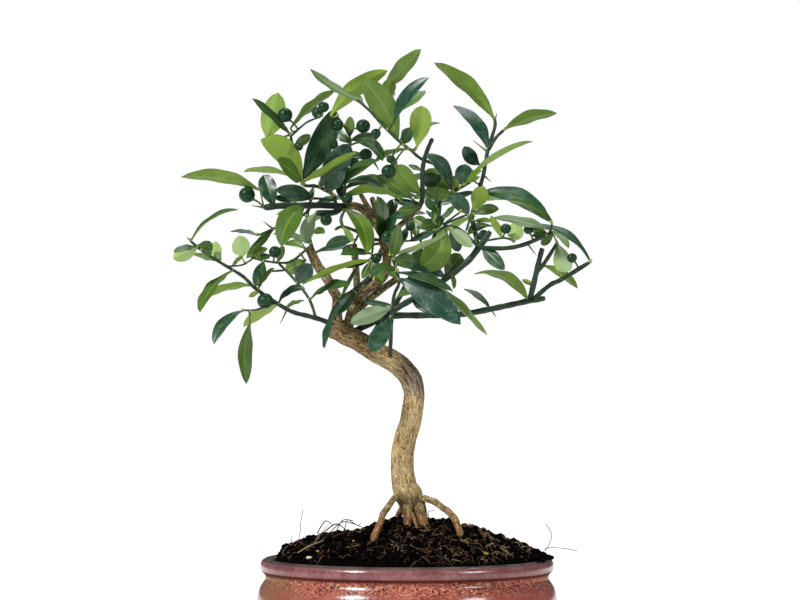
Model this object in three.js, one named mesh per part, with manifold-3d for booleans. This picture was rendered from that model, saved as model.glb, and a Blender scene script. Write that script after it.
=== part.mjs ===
// Dwarf orange bonsai growing in its glazed round pot.
// Millimetres, +Z up. The front faces -Y, and the origin is the middle of the pot's flat underside.
import * as THREE from "three";
import Module from "manifold-3d";

const wasm = await Module();
wasm.setup();

// Driving dimensions of the pot
const RIM_RADIUS = 88;
const RIM_TOP = 76;
const FOOT_RADIUS = 62;
const FLOOR_THICKNESS = 8;
const DRAIN_HOLE_RADIUS = 6;
const DRAIN_HOLE_REACH = 24;
const DRAIN_ANGLES = [90, 210, 330];
const GROOVE_WIDTH = 8;
const GROOVE_DEPTH = 2;
const SCREEN_RADIUS = 34;
const SCREEN_THICKNESS = 1.2;
const ROUND_SEGMENTS = 30;

// Clear space left between two nodes
const GAP = 0.3;

// The layout lists hold places as they are seen from the front: x to the right and z up, on the
// plane through the trunk. The eye is level, this far ahead of the trunk and at this place.
const EYE_DISTANCE = 2300;
const EYE_X = -4.2;
const EYE_Z = 230.8;

// Leaves and fruits
const BLADE_THICKNESS = 0.7;
const PETIOLE_HALF_WIDTH = 0.65;
const FOLD = 0.16;
const FOLDED_SIZE = 560;
const LEAF_CLEARANCE = 0.4;
const TOUCH_ALLOWED = 2;
const UNDERSIDE_TONE = 0.55;
// Depths in the lists are for a flat crown, and this opens it out.
const DEPTH_SPREAD = 1.5;
const JOIN_REACH = 2.5;
const DEPTH_TRIES = [0, -7, 7, -14, 14, -21, 21, -29, 29, -38, 38];
const FRUIT_TRIES = [-5, -9, 4, -13, 9, -18, 14];

// Outside of the pot from the foot up to the rim, then the inside down to the floor: radius, height
const POT_OUTSIDE = [
  [FOOT_RADIUS, 0],
  [FOOT_RADIUS + 0.6, 6],
  [73, 13],
  [83, 25],
  [88.6, 39],
  [RIM_RADIUS + 2, 50],
  [88.6, 58],
  [84.8, 65],
  [87.8, 69.4],
  [87.7, 73.6],
  [85, RIM_TOP],
];
const POT_INSIDE = [
  [81.2, RIM_TOP - 0.4],
  [79.4, 73.6],
  [79.2, 66],
  [83, 50],
  [78, 29],
  [65, 15],
  [50, FLOOR_THICKNESS],
];

// Height of the soil at a radius, higher at the back of the trunk than in front of it
const SOIL_HEIGHT = [
  [0, 97],
  [20, 96],
  [35, 92.5],
  [48, 90],
  [58, 86],
  [70, 82.6],
  [76, 80],
  [79, 75],
];
const SOIL_TILT = 0.14;
const SOIL_DIP_X = -33;
const SOIL_DIP_WIDTH = 16;
const SOIL_DIP_DEPTH = 7;
const SOIL_LUMPS = 1.1;

// Bark: the trunk from below the soil up to its rough end, as x, z and width
const TRUNK_PATH = [
  [5, 80, 13],
  [3.6, 104, 17],
  [1.1, 114, 16.9],
  [-1.9, 121.6, 14.6],
  [-2.5, 141, 13.8],
  [2.6, 161, 12.9],
  [4.3, 174, 12.8],
  [2.4, 182.6, 12.8],
  [-1.9, 188.7, 13],
  [-7, 193.2, 13.2],
  [-17.4, 199.1, 12.6],
  [-28.3, 205.7, 12.2],
  [-36.5, 209.8, 12],
  [-43.5, 213.4, 10.4],
];

// Roots, each with its path, its depth at both ends and its width at both ends:
// left, right, two columns in front, two pale rootlets and two at the back
const ROOTS = [
  {
    path: [[-2, 114.5], [-7.2, 112.2], [-12.6, 105], [-16.4, 96], [-19.6, 88], [-21, 82]],
    depth: [-3, -32],
    width: [5, 5.2],
  },
  {
    path: [[5, 113], [10.8, 111.6], [18.6, 108.2], [25.8, 102.4], [30, 96.2], [33, 87]],
    depth: [-3, -19],
    width: [5.2, 5],
  },
  { path: [[0, 108], [0.6, 101], [0.4, 95], [-0.6, 86]], depth: [-3, -9], width: [8.4, 5.4] },
  { path: [[7, 110], [8.8, 101], [10, 94], [11.6, 85]], depth: [-2, -8], width: [9.6, 7.6] },
  { path: [[3.2, 103], [5.2, 96.5], [8, 90], [9.2, 83]], depth: [-6, -18], width: [2, 1.8] },
  { path: [[-0.8, 97.5], [2.4, 94], [5.4, 91.4], [6.4, 87]], depth: [-5, -15], width: [1.4, 1.2] },
  { path: [[-1, 110], [-4, 104], [-6, 97], [-8, 87]], depth: [4, 34], width: [6, 4.4] },
  { path: [[4, 110], [8, 104], [10, 97], [12, 87]], depth: [4, 38], width: [6, 4.4] },
];

// Barked limbs in the same form
const LIMBS = [
  // limb with a cut end at the upper left
  {
    path: [
      [-41, 213], [-42.2, 224], [-42, 231.7], [-44.6, 237.2], [-48.7, 245], [-53.8, 251.6],
      [-58.9, 262.6],
    ],
    depth: [0, 8],
    width: [6.6, 5.6],
  },
  // limb that carries the crown, its two arms and its cut twigs
  {
    path: [
      [-36, 211], [-33.6, 222], [-31, 230.4], [-25, 236.3], [-17.5, 241.5], [-13, 247.5],
      [-12, 258], [-14, 265.4], [-14.3, 272],
    ],
    depth: [0, 10],
    width: [6.6, 5.4],
  },
  {
    path: [[-14.3, 270.5], [-18, 276.5], [-22.5, 281.8], [-28, 286], [-33, 287.4], [-37, 286.6]],
    depth: [10, 14],
    width: [6.4, 4.4],
  },
  { path: [[-14.6, 272], [-17.4, 279], [-19.2, 286], [-21, 292]], depth: [10, 20], width: [5, 3.2] },
  { path: [[-16, 274], [-20.5, 281.5], [-25, 289], [-28.5, 295.5]], depth: [10, 17], width: [4.6, 2.6] },
  { path: [[-14, 270], [-10, 272.3], [-2, 277.5], [7.6, 287.6]], depth: [10, 0], width: [2.8, 4.4] },
  { path: [[-14, 265], [-21.5, 264]], depth: [9, 3], width: [2, 1.8] },
  // dark upright stem and olive stem between the limbs
  { path: [[-31.6, 229], [-30, 236], [-30.7, 250], [-31.9, 264.5]], depth: [4, -2], width: [4.6, 4] },
  { path: [[-36, 212], [-31, 222.6], [-25, 229.2], [-15, 237.2], [-5, 244.2]], depth: [0, 2], width: [5, 4] },
];

// Leafy sprays. A leaf is: start x, start z, tip x, tip z, seen width, tone, arch up, tip depth.
// The tone runs from dark blue-green at 0 to yellow-green at 1, and the tip's depth is counted from
// the leaf's root, where minus is towards the front.
const SPRAYS = {
  spray_left: {
    tint: 0x4f7a34,
    stems: [
      {
        path: [
          [-41, 214], [-50, 218.4], [-59.4, 221.2], [-69, 223.8], [-79.6, 229.8], [-91.5, 238.2],
          [-98.5, 245], [-111, 252.7], [-122, 259.6], [-130, 266.3],
        ],
        depth: [-1, -36],
        width: [3.2, 1.5],
      },
      {
        path: [[-54.8, 220.4], [-58.9, 231.7], [-68.1, 243.7], [-77.5, 253.2]],
        depth: [-4, 4],
        width: [1.9, 1.5],
      },
      {
        path: [[-94.5, 257], [-88, 254.8], [-77.5, 253.2], [-69.4, 254], [-60.5, 261]],
        depth: [0, 8],
        width: [1.4, 1.5],
      },
      { path: [[-80.7, 248.1], [-73.5, 248.6]], depth: [-4, 0], width: [1.3, 1.4] },
      { path: [[-108.4, 251], [-99, 251.8], [-92, 256]], depth: [-30, -3], width: [1.1, 1.1] },
      { path: [[-79, 229], [-90, 225], [-98.5, 224.6]], depth: [-14, -34], width: [1.2, 1.1] },
    ],
    leaves: [
      [-129.5, 266.8, -101.6, 285.1, 2.8, 0.35, 4.2, -10],
      [-126.7, 261, -140.3, 255.6, 8.7, 0.6, 0, 4],
      [-126, 264, -116.5, 261.5, 7.5, 0.45, 0.5, 12],
      [-113, 254, -114.5, 266, 8, 0.6, -1.5, 9],
      [-99, 256.5, -100.4, 269.6, 11, 0.55, 0, 17],
      [-86, 254.4, -90.6, 238.8, 8, 0.25, 0, -7],
      [-104.5, 248.6, -124.3, 223.4, 6.4, 0.5, 3.2, -26],
      [-94.2, 238.2, -120, 232.9, 4.4, 0.65, 2, 3],
      [-98, 225, -115.8, 204.4, 6.5, 0.15, 3.6, -16],
      [-77.5, 227, -98.2, 214.7, 6, 0.75, 1.3, 12],
      [-94.2, 217, -96.3, 180.3, 8.2, 0.5, -2.3, -6],
      [-76.7, 229.5, -61, 237.8, 4.4, 0.15, 3.4, -10],
      [-58.5, 231, -34, 240, 4.6, 0.35, 3, -24],
      [-66, 241, -57.6, 252.6, 11, 0.12, 0, -13],
      [-60.5, 254.6, -72.4, 248.2, 9.2, 0.5, 0.2, 9],
    ],
    fruits: [[-79.2, 259.6, 3.7], [-85.1, 230.2, 4.8]],
    thorns: [
      [-72.1, 224.8, -76.1, 216.6],
      [-129.6, 266, -132.3, 268.6],
      [-111.7, 254, -111.7, 259.5],
      [-88.4, 254.8, -88.8, 259.6],
    ],
  },
  spray_upper_left: {
    tint: 0x58813a,
    stems: [
      {
        path: [[-33, 286.6], [-38, 287.2], [-56, 287.6], [-76, 287.3], [-85.8, 286.2]],
        depth: [14, 6],
        width: [4, 4.2],
      },
      { path: [[-38, 287], [-44.3, 283.2], [-54.5, 283]], depth: [13, 4], width: [3.8, 4] },
      {
        path: [
          [-41.5, 286], [-43, 289.5], [-44.5, 294], [-54, 299], [-62.5, 300.4], [-66.4, 313],
          [-70, 330],
        ],
        depth: [12, 0],
        width: [2.4, 1.7],
      },
      { path: [[-69.6, 329], [-60.4, 337.2], [-51, 341]], depth: [2, -8], width: [1.4, 1.2] },
      { path: [[-43, 290.5], [-56, 291.8], [-66, 290.3]], depth: [10, 12], width: [1.9, 1.5] },
      {
        path: [[-36.5, 287], [-37.5, 297], [-36, 310], [-34, 326], [-37, 334], [-42, 341]],
        depth: [14, 4],
        width: [2.2, 1.4],
      },
      { path: [[-56, 288], [-66, 279], [-80.6, 273.4], [-89.3, 269.6]], depth: [9, 18], width: [1.6, 1.2] },
    ],
    leaves: [
      [-71.4, 330, -92.7, 351.6, 5, 0.3, 0.6, -12],
      [-84, 327, -77.2, 355.2, 14.6, 0.75, 0, 22],
      [-62.3, 302, -87.9, 327, 15, 0.9, 5.4, -32],
      [-88, 297, -135.5, 305, 7.4, 0.6, 5, -20],
      [-64, 302, -97.9, 307.8, 3, 0.7, 2.8, 4],
      [-80, 289, -86, 306, 11, 0.1, 0, 7],
      [-70, 334, -42.5, 356.8, 4.8, 0.65, 2, 14],
      [-66, 302, -78, 315, 9, 0.45, 0, 2],
      [-57, 293.5, -79, 297, 9.6, 0.15, 1, -18],
      [-61.5, 303, -43, 346, 14.8, 0.08, -1.6, -27],
      [-62.4, 301.6, -31.2, 319.9, 5, 0.7, -1, -24],
      [-52, 299, -34, 324.5, 14, 0.05, 0, -17],
      [-49, 298, -37, 308, 9, 0.08, 0, -13],
      [-46, 296, -18, 314.8, 7.2, 0.35, 2, -32],
      [-42, 320, -47, 330, 6, 0.3, 0, 2],
      [-36, 325, -44.5, 333.5, 6, 0.3, 0, 6],
      [-34.5, 326.4, -17.4, 327.6, 6.2, 0.3, 1.2, 8],
      [-38, 297, -13, 294, 5.5, 0.2, 7, 10],
      [-34, 328, -34, 341, 6, 0.5, 0, 9],
      [-46, 341.4, -11.5, 368.6, 10.4, 0.85, 3.3, -20],
      [-40, 291.5, -2, 289.4, 4.2, 0.7, 6, -25],
      [-36, 301, -12, 296, 6, 0.25, 3.4, 15],
      [-61, 287, -75.5, 263, 13.8, 0.55, 3.8, -23],
      [-54.5, 284, -60.8, 264.5, 8.8, 0.5, 2.1, 8],
      [-79, 272.5, -96.5, 256, 5.4, 0.35, 0.2, 12],
      [-35.6, 324, -14.5, 314, 6, 0.35, 6, -19],
      [-39, 285.5, -24, 258.5, 9.6, 0.5, 5.6, -21],
    ],
    fruits: [
      [-96, 293.9, 4.9], [-73.2, 341.8, 4.5], [-50, 346.6, 3.3], [-53.6, 343.2, 3.6], [-41.8, 335.5, 3.6],
      [-26.3, 335.1, 4.3], [-24.7, 318, 3.9], [-64.9, 322.9, 2.6], [-43.6, 300.8, 3.3], [-36, 291.6, 3.5],
      [-48.5, 278.8, 3.6],
    ],
    thorns: [
      [-80.6, 273.9, -86.3, 278.1],
      [-86, 288, -93.4, 287.6],
      [-70, 329, -72.5, 335],
      [-52, 299, -53, 303],
    ],
  },
  spray_top: {
    tint: 0x5c8a3c,
    stems: [
      {
        path: [[7.4, 287.2], [9.2, 291.2], [9.2, 304], [9.8, 312.5], [11.9, 319.9], [15.3, 327.8]],
        depth: [-2.4, -9.5],
        width: [3, 2.6],
      },
      {
        path: [
          [28, 295.6], [22, 305], [17.7, 311.5], [8.5, 315.5], [1.1, 321.7], [-4, 325.4], [-14.6, 335.6],
          [-22.4, 344.3], [-30.3, 351.3],
        ],
        depth: [2, -22],
        width: [2.1, 1.5],
      },
      { path: [[-15, 336], [-13, 348], [-14, 358]], depth: [-15, -2], width: [1.3, 1.2] },
      { path: [[27.4, 295.6], [33, 298.8], [38, 301.6]], depth: [2, -6], width: [2.6, 1.8] },
    ],
    leaves: [
      [-30, 351, -58, 369.4, 5, 0.45, -2, 8],
      [-5, 327, -27.5, 363.5, 15.5, 0.6, 3.1, -20],
      [-13.5, 350, -9.5, 363.5, 8.4, 0.55, 0, -6],
      [-16, 357, 8.5, 381.3, 9.4, 0.5, 0.3, 11],
      [-8, 337, 13, 364.2, 7.8, 0.08, 3.2, 10],
      [-7, 342.4, 11.2, 356.4, 6.6, 0.5, 0.6, 20],
      [6, 322.6, 8.8, 347.4, 13, 0.7, -0.4, -16],
      [7, 325, 19.7, 337, 4.6, 0.5, 3.8, 14],
      [-2, 324.5, 2, 334.4, 7, 0.3, 0, -11],
      [9, 294, -6.3, 312, 12, 0.55, -1.5, -16],
      [3, 291.3, -18.5, 305.5, 8.5, 0.4, 1, 4],
      [27.5, 297.6, 11, 318, 8, 0.15, 3.8, -19],
      [27.5, 298, 10, 308, 13, 0.6, 0, 14],
      [28, 295, 10.5, 297, 8.5, 0.5, -2, -6],
      [5, 287.5, -5.5, 284.5, 6.5, 0.45, -1, -4],
      [5, 286, -9.5, 281, 6, 0.08, -1, 8],
      [22, 305, 10, 301, 10, 0.3, 0, 21],
      [33, 299, 35, 312.4, 11, 0.1, 0, -1],
      [33, 299, 75, 326, 3.6, 0.6, 4, 25],
      [-22, 344, -8, 353, 5, 0.4, 2, 41],
      [-26, 348, -40, 356, 6, 0.35, 1, 40],
    ],
    fruits: [[0, 330.5, 3.5], [-18.7, 330.7, 3], [-11.1, 307.9, 4.3], [-10, 315.3, 2.4]],
    thorns: [[-7, 327.5, -9.6, 330.6], [18, 311, 21.4, 314.6]],
  },
  spray_inner: {
    tint: 0x4c7434,
    stems: [
      {
        path: [[-14, 266.5], [-21.3, 267.6], [-30, 271.9], [-38.6, 274.8], [-43.2, 273]],
        depth: [8, -10],
        width: [2.2, 1.8],
      },
      { path: [[-20, 267.4], [-21, 258], [-21.5, 254]], depth: [4, -8], width: [1.4, 1.2] },
      { path: [[-38.6, 274.8], [-39.6, 279.6], [-37.2, 285]], depth: [-7, -3], width: [2.2, 1.6] },
    ],
    leaves: [
      [-31, 267, -48.8, 262.4, 7, 0.25, 1.5, 11],
      [-13.5, 268, -5.8, 280, 7, 0.15, 1, -6],
      [-14.6, 267.5, -17, 293, 4.6, 0.15, 0, -4],
      [-13.4, 268, -9.8, 291.5, 5, 0.1, 0, 4],
      [-13.8, 268, -12.5, 290.5, 3.8, 0.45, 0, -8],
      [-21, 258.4, -40, 258, 4.6, 0.3, 1.4, -8],
      [-21.4, 255, -62.8, 240.2, 3.6, 0.75, 1.8, -17],
      [-22, 254.5, -14.5, 240.6, 6.6, 0.5, 0, -5],
    ],
    fruits: [[-18.3, 256, 3], [-23.4, 274.6, 3]],
    thorns: [],
  },
  spray_low: {
    tint: 0x4f7a34,
    stems: [
      { path: [[-41.4, 231.5], [-36, 233.6], [-28, 239.6], [-21, 246.5]], depth: [2, -13], width: [3, 2.2] },
    ],
    leaves: [
      [-30.5, 235.5, -42.8, 222, 8, 0.3, 0, -9],
      [-41.5, 233, -49.6, 202, 5, 0.1, 0.6, -24],
      [-22, 245.5, -12, 252, 6, 0.3, 1, -10],
    ],
    fruits: [],
    thorns: [],
  },
  spray_front: {
    tint: 0x4c7434,
    stems: [
      {
        path: [
          [-10.4, 194], [-9.6, 209.5], [-9.2, 222], [-7.6, 234], [-4.8, 241], [-6.5, 249],
          [-9.6, 258.6],
        ],
        depth: [-3, -16],
        width: [2.6, 1.8],
      },
    ],
    leaves: [
      [-9.4, 226.4, -34, 216.9, 9.6, 0.7, 0.5, -9],
      [-10, 220, -22, 200, 10.8, 0.15, 0, -6],
      [-3.5, 244, 32.2, 216, 15.2, 0.1, 2.8, -13],
      [-6, 247.5, 27.5, 236, 5.2, 0.2, 2, 4],
      [-9.6, 258.4, 23.8, 271, 3.6, 0.8, -2, 4],
      [-7.5, 256, -4.6, 276, 7.8, 0.45, 0, -7],
      [-7.5, 256, 5, 253.5, 9, 0.3, 0, 8],
      [-7, 252, 14.5, 246.4, 5, 0.12, 1.6, 6],
      [-8.4, 260, 0, 274.5, 5.4, 0.1, -1, -5],
    ],
    fruits: [[-12, 268.6, 3.5]],
    thorns: [],
  },
  spray_right: {
    tint: 0x527d38,
    stems: [
      {
        path: [
          [-23, 206], [-14, 219.5], [-7.4, 225], [1.5, 230.3], [11, 236], [20.9, 241.8], [36, 253.7],
          [43.2, 262.4], [50, 272],
        ],
        depth: [-3, -8],
        width: [3.8, 4],
      },
      {
        path: [
          [42.4, 262.8], [38.6, 267], [31.6, 273.3], [23.7, 275.1], [16.5, 272], [17, 287.6],
          [18.7, 299],
        ],
        depth: [-6, -10],
        width: [2, 1.7],
      },
      { path: [[22, 275.8], [30, 279.6], [37.6, 281.4], [35.3, 272]], depth: [-8, -14], width: [1.4, 1.4] },
      { path: [[21.5, 276], [29, 281.4], [33, 284.4]], depth: [-8, -10], width: [1.5, 1.1] },
      { path: [[16.5, 272], [9, 267.5], [-2, 266]], depth: [-8, -6], width: [1.6, 1] },
      { path: [[49, 321], [53.2, 328], [58.4, 333]], depth: [14.5, 17], width: [2.4, 1.8] },
      {
        path: [
          [42.4, 262.8], [40.6, 272.9], [39, 280.3], [41, 289], [45.8, 305.8], [48.5, 320.8],
          [52.7, 334.6], [52.4, 340],
        ],
        depth: [-6, 22],
        width: [3, 2.1],
      },
      {
        path: [[42.3, 262.4], [57.8, 261.8], [69.8, 263.9], [82.8, 269.4], [88.4, 271.4]],
        depth: [-6, -40],
        width: [2.8, 2.4],
      },
      { path: [[44, 265.6], [57.8, 268], [64.4, 266]], depth: [-8, -18], width: [1.4, 1.3] },
      { path: [[85, 270], [87, 276.5], [84, 283]], depth: [-38, -44], width: [1.8, 0.8] },
    ],
    leaves: [
      [52.4, 339, 16.2, 373.2, 9.4, 0.75, 3.8, -18],
      [47.2, 321, 27.7, 347.4, 8.6, 0.1, 4.4, 15],
      [43.6, 312, 34.2, 323, 8.4, 0.1, -1.2, -12],
      [57.4, 335, 90, 342.8, 7.4, 0.5, 2.6, -11],
      [43, 294.4, 85.4, 277.6, 10.4, 0.2, 6.8, -16],
      [40, 284, 46, 299, 10, 0.6, 0, -21],
      [42, 291, 64, 292, 4, 0.6, 0.6, 12],
      [39.6, 282.2, 55.2, 285.4, 6.4, 0.45, 1.2, 11],
      [85.6, 277.4, 60.2, 290.6, 6.4, 0.35, 2.8, -9],
      [86, 273, 52, 280.4, 6, 0.45, 0.7, 10],
      [64, 265.6, 66, 277.5, 10, 0.6, 0, 12],
      [57, 267, 50.5, 281.5, 4.6, 0.8, 0, -12],
      [37, 270.5, 52, 275, 5, 0.45, 2.6, 23],
      [44.8, 262.3, 58.6, 248.8, 8.4, 0.25, 0.3, -10],
      [22, 244, 32, 258.5, 11, 0.45, 0, 12],
      [24.7, 275, 39.4, 262.8, 7, 0.7, 0, -13],
      [26, 274.5, 31, 259.8, 7.2, 0.12, 0, -8],
      [24, 271.5, 8, 250.3, 16.6, 0.55, -3, -14],
      [9, 262, 3.5, 250.5, 9, 0.45, 0, 6],
      [16.7, 272.6, 4, 280, 7.5, 0.45, 0, 6],
      [36.6, 282.6, 25.4, 292.4, 9, 0.15, 2, -4],
      [41.5, 296, 20, 289.4, 4, 0.2, 0.6, 8],
      [7, 266.8, 5, 279, 5.6, 0.45, -1, 5],
      [18, 272.5, 1.5, 266, 4.2, 0.15, 0, -5],
      [22, 246, 6, 252, 6.5, 0.12, 1, 6],
      [9, 235, -6.3, 232.5, 4.5, 0.65, 2, -13],
      [2.5, 231, 13.5, 223, 6.4, 0.12, 1, -11],
      [18, 240, 48, 210, 4.6, 0.6, 0.3, -16],
      [41, 301.5, 30, 310, 7, 0.2, 1, 25],
    ],
    fruits: [[59.3, 273.6, 3.2], [72.8, 273, 2.8], [1.9, 275, 2.8]],
    thorns: [
      [47.6, 319.8, 39.4, 326.8],
      [52.8, 338, 54, 343],
      [46, 305.8, 50.4, 301.6],
      [72.3, 264.3, 77.8, 257.3],
    ],
  },
  spray_long: {
    tint: 0x4c7434,
    stems: [
      {
        path: [
          [-36, 209.8], [-20, 217.6], [-8, 221.3], [10, 221.6], [32.5, 222.3], [49.8, 225.3], [60.8, 227.6],
          [72.8, 230.2], [83, 231.9],
        ],
        depth: [3, 6],
        width: [4.2, 3.6],
      },
      {
        path: [[73.6, 230.2], [77, 244.8], [80.3, 258.6], [81.2, 261.4]],
        depth: [5.8, 18],
        width: [3.8, 3.2],
      },
      { path: [[77.6, 247], [83, 253.8], [90.3, 265.3]], depth: [9, 16], width: [2.8, 2.2] },
      { path: [[75, 230.6], [85.8, 239.8], [93, 243.3], [110.3, 253.9]], depth: [5.8, -16], width: [3, 2.6] },
    ],
    leaves: [
      [109.5, 255, 77, 276.3, 4.6, 0.2, 5.1, 4],
      [89, 265.8, 95.6, 247.2, 11.2, 0.65, 0, -20],
      [82, 251, 102.4, 237.8, 5.4, 0.65, 2, -3],
      [72.4, 231.5, 40.3, 246.6, 6.4, 0.65, 6.7, -24],
      [49.6, 227.4, 34.2, 237.4, 3.8, 0.4, 1.6, 7],
    ],
    fruits: [[99, 256, 3]],
    thorns: [[50.3, 225, 53.6, 220.4]],
  },
};

// Hidden sprays that fill the back: each stem carries leaves set round it by rule
const BACK_SPRAYS = {
  spray_back_left: {
    tint: 0x4f7a34,
    path: [[-41, 221], [-43, 234], [-50, 247], [-57, 262], [-60, 280], [-56, 296]],
    depth: [1.5, 56],
    width: [3.6, 1.8],
    leafCount: 8,
    seed: 11,
  },
  spray_back_middle: {
    tint: 0x58813a,
    path: [[-24, 239], [-19, 252], [-12, 268], [-8, 282], [-6, 294], [-9, 305]],
    depth: [5, 52],
    width: [4, 1.8],
    leafCount: 8,
    seed: 23,
  },
  spray_back_right: {
    tint: 0x527d38,
    path: [[-20, 204], [-8, 226], [5, 250], [16, 268], [20, 290], [18, 306]],
    depth: [2, 58],
    width: [4, 1.8],
    leafCount: 8,
    seed: 37,
  },
};
const GOLDEN_ANGLE = 137.5;
const BACK_LEAF_LENGTH = 29;
const BACK_LEAF_START = 0.56;

function repeatable(seed) {
  let state = seed;
  return () => {
    state = (state * 16807) % 2147483647;
    return state / 2147483647;
  };
}

// Carries a place seen from the front to its true place at depth y.
function seen(x, y, z) {
  const reach = (EYE_DISTANCE + y) / EYE_DISTANCE;
  return new THREE.Vector3(EYE_X + (x - EYE_X) * reach, y, EYE_Z + (z - EYE_Z) * reach);
}

function radians(degrees) {
  return (degrees * Math.PI) / 180;
}

function between(a, b, t) {
  return a + (b - a) * t;
}

// Reads a height from a list of [place, height], straight between its rows.
function readCurve(curve, place) {
  for (let i = 1; i < curve.length; i += 1) {
    if (place <= curve[i][0]) {
      const t = (place - curve[i - 1][0]) / (curve[i][0] - curve[i - 1][0]);
      return between(curve[i - 1][1], curve[i][1], t);
    }
  }
  return curve[curve.length - 1][1];
}

// Joins rings of points, all with the same count, into one closed solid with a point at each end.
function loft(rings, start, end) {
  const sides = rings[0].length;
  const points = [start, ...rings.flat(), end];
  const faces = [];
  const at = (ring, side) => 1 + ring * sides + (side % sides);
  const last = rings.length - 1;
  for (let side = 0; side < sides; side += 1) {
    faces.push([0, at(0, side + 1), at(0, side)]);
    faces.push([points.length - 1, at(last, side), at(last, side + 1)]);
  }
  for (let ring = 0; ring < last; ring += 1) {
    for (let side = 0; side < sides; side += 1) {
      faces.push([at(ring, side), at(ring, side + 1), at(ring + 1, side + 1)]);
      faces.push([at(ring, side), at(ring + 1, side + 1), at(ring + 1, side)]);
    }
  }
  const vertProperties = new Float32Array(points.flatMap((point) => [point.x, point.y, point.z]));
  const triVerts = new Uint32Array(faces.flat());
  return new wasm.Manifold(new wasm.Mesh({ numProp: 3, vertProperties, triVerts }));
}

function circle(radius, z, segments, centreX = 0, centreY = 0) {
  const ring = [];
  for (let i = 0; i < segments; i += 1) {
    const angle = (2 * Math.PI * i) / segments;
    ring.push(new THREE.Vector3(centreX + radius * Math.cos(angle), centreY + radius * Math.sin(angle), z));
  }
  return ring;
}

// Turns a profile of [radius, height] round the Z axis.
function turned(profile, segments) {
  const rings = profile.map(([radius, z]) => circle(radius, z, segments));
  const start = new THREE.Vector3(0, 0, profile[0][1]);
  const end = new THREE.Vector3(0, 0, profile[profile.length - 1][1]);
  return loft(rings, start, end);
}

function disc(radius, bottom, top, segments, centreX = 0, centreY = 0) {
  const lower = circle(radius, bottom, segments, centreX, centreY);
  const upper = circle(radius, top, segments, centreX, centreY);
  const rings = [lower, upper];
  return loft(rings, new THREE.Vector3(centreX, centreY, bottom), new THREE.Vector3(centreX, centreY, top));
}

// Square bar along a radius of the pot, from one reach to another.
function radialBar(angle, from, to, width, bottom, top) {
  const along = new THREE.Vector3(Math.cos(radians(angle)), Math.sin(radians(angle)), 0);
  const across = new THREE.Vector3(-along.y, along.x, 0);
  const corners = [[-1, bottom], [1, bottom], [1, top], [-1, top]];
  const ringAt = (reach) => corners.map(([side, z]) => along.clone().multiplyScalar(reach)
    .addScaledVector(across, (side * width) / 2)
    .setZ(z));
  const middle = (bottom + top) / 2;
  return loft([ringAt(from), ringAt(to)], along.clone().multiplyScalar(from).setZ(middle),
    along.clone().multiplyScalar(to).setZ(middle));
}

// Round stem through the given points, with one width a point.
function tube(points, widths, sides, extra = 0) {
  const rings = [];
  let across = null;
  for (let i = 0; i < points.length; i += 1) {
    const before = points[Math.max(i - 1, 0)];
    const after = points[Math.min(i + 1, points.length - 1)];
    const along = after.clone().sub(before).normalize();
    if (across === null) {
      across = Math.abs(along.y) < 0.9 ? new THREE.Vector3(0, 1, 0) : new THREE.Vector3(1, 0, 0);
    }
    across = across.clone().addScaledVector(along, -across.dot(along)).normalize();
    const other = along.clone().cross(across);
    const radius = widths[i] / 2 + extra;
    const ring = [];
    for (let side = 0; side < sides; side += 1) {
      const angle = (2 * Math.PI * side) / sides;
      ring.push(points[i].clone()
        .addScaledVector(across, radius * Math.cos(angle))
        .addScaledVector(other, radius * Math.sin(angle)));
    }
    rings.push(ring);
  }
  return loft(rings, points[0].clone(), points[points.length - 1].clone());
}

// Gives a stem of the lists its true points and its width at each.
function resolveStem(stem, spread) {
  const lengths = [0];
  for (let i = 1; i < stem.path.length; i += 1) {
    const step = Math.hypot(stem.path[i][0] - stem.path[i - 1][0], stem.path[i][1] - stem.path[i - 1][1]);
    lengths.push(lengths[i - 1] + step);
  }
  const total = lengths[lengths.length - 1];
  const shares = lengths.map((length) => length / total);
  const depths = shares.map((share) => spread * between(stem.depth[0], stem.depth[1], share));
  const points = stem.path.map(([x, z], i) => seen(x, depths[i], z));
  const widths = shares.map((share) => between(stem.width[0], stem.width[1], share));
  return { path: stem.path, depths, points, widths };
}

// Finds the place on a spray's stems that is nearest to [x, z] as seen from the front.
function nearestOnStems(stems, x, z) {
  let best = { distance: Infinity };
  for (const stem of stems) {
    for (let i = 1; i < stem.path.length; i += 1) {
      const [ax, az] = stem.path[i - 1];
      const [bx, bz] = stem.path[i];
      const lengthSquared = (bx - ax) ** 2 + (bz - az) ** 2;
      const t = Math.min(1, Math.max(0, ((x - ax) * (bx - ax) + (z - az) * (bz - az)) / lengthSquared));
      const distance = Math.hypot(x - between(ax, bx, t), z - between(az, bz, t));
      if (distance < best.distance) {
        const depth = between(stem.depths[i - 1], stem.depths[i], t);
        best = { distance, x: between(ax, bx, t), z: between(az, bz, t), depth };
      }
    }
  }
  return best;
}

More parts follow.
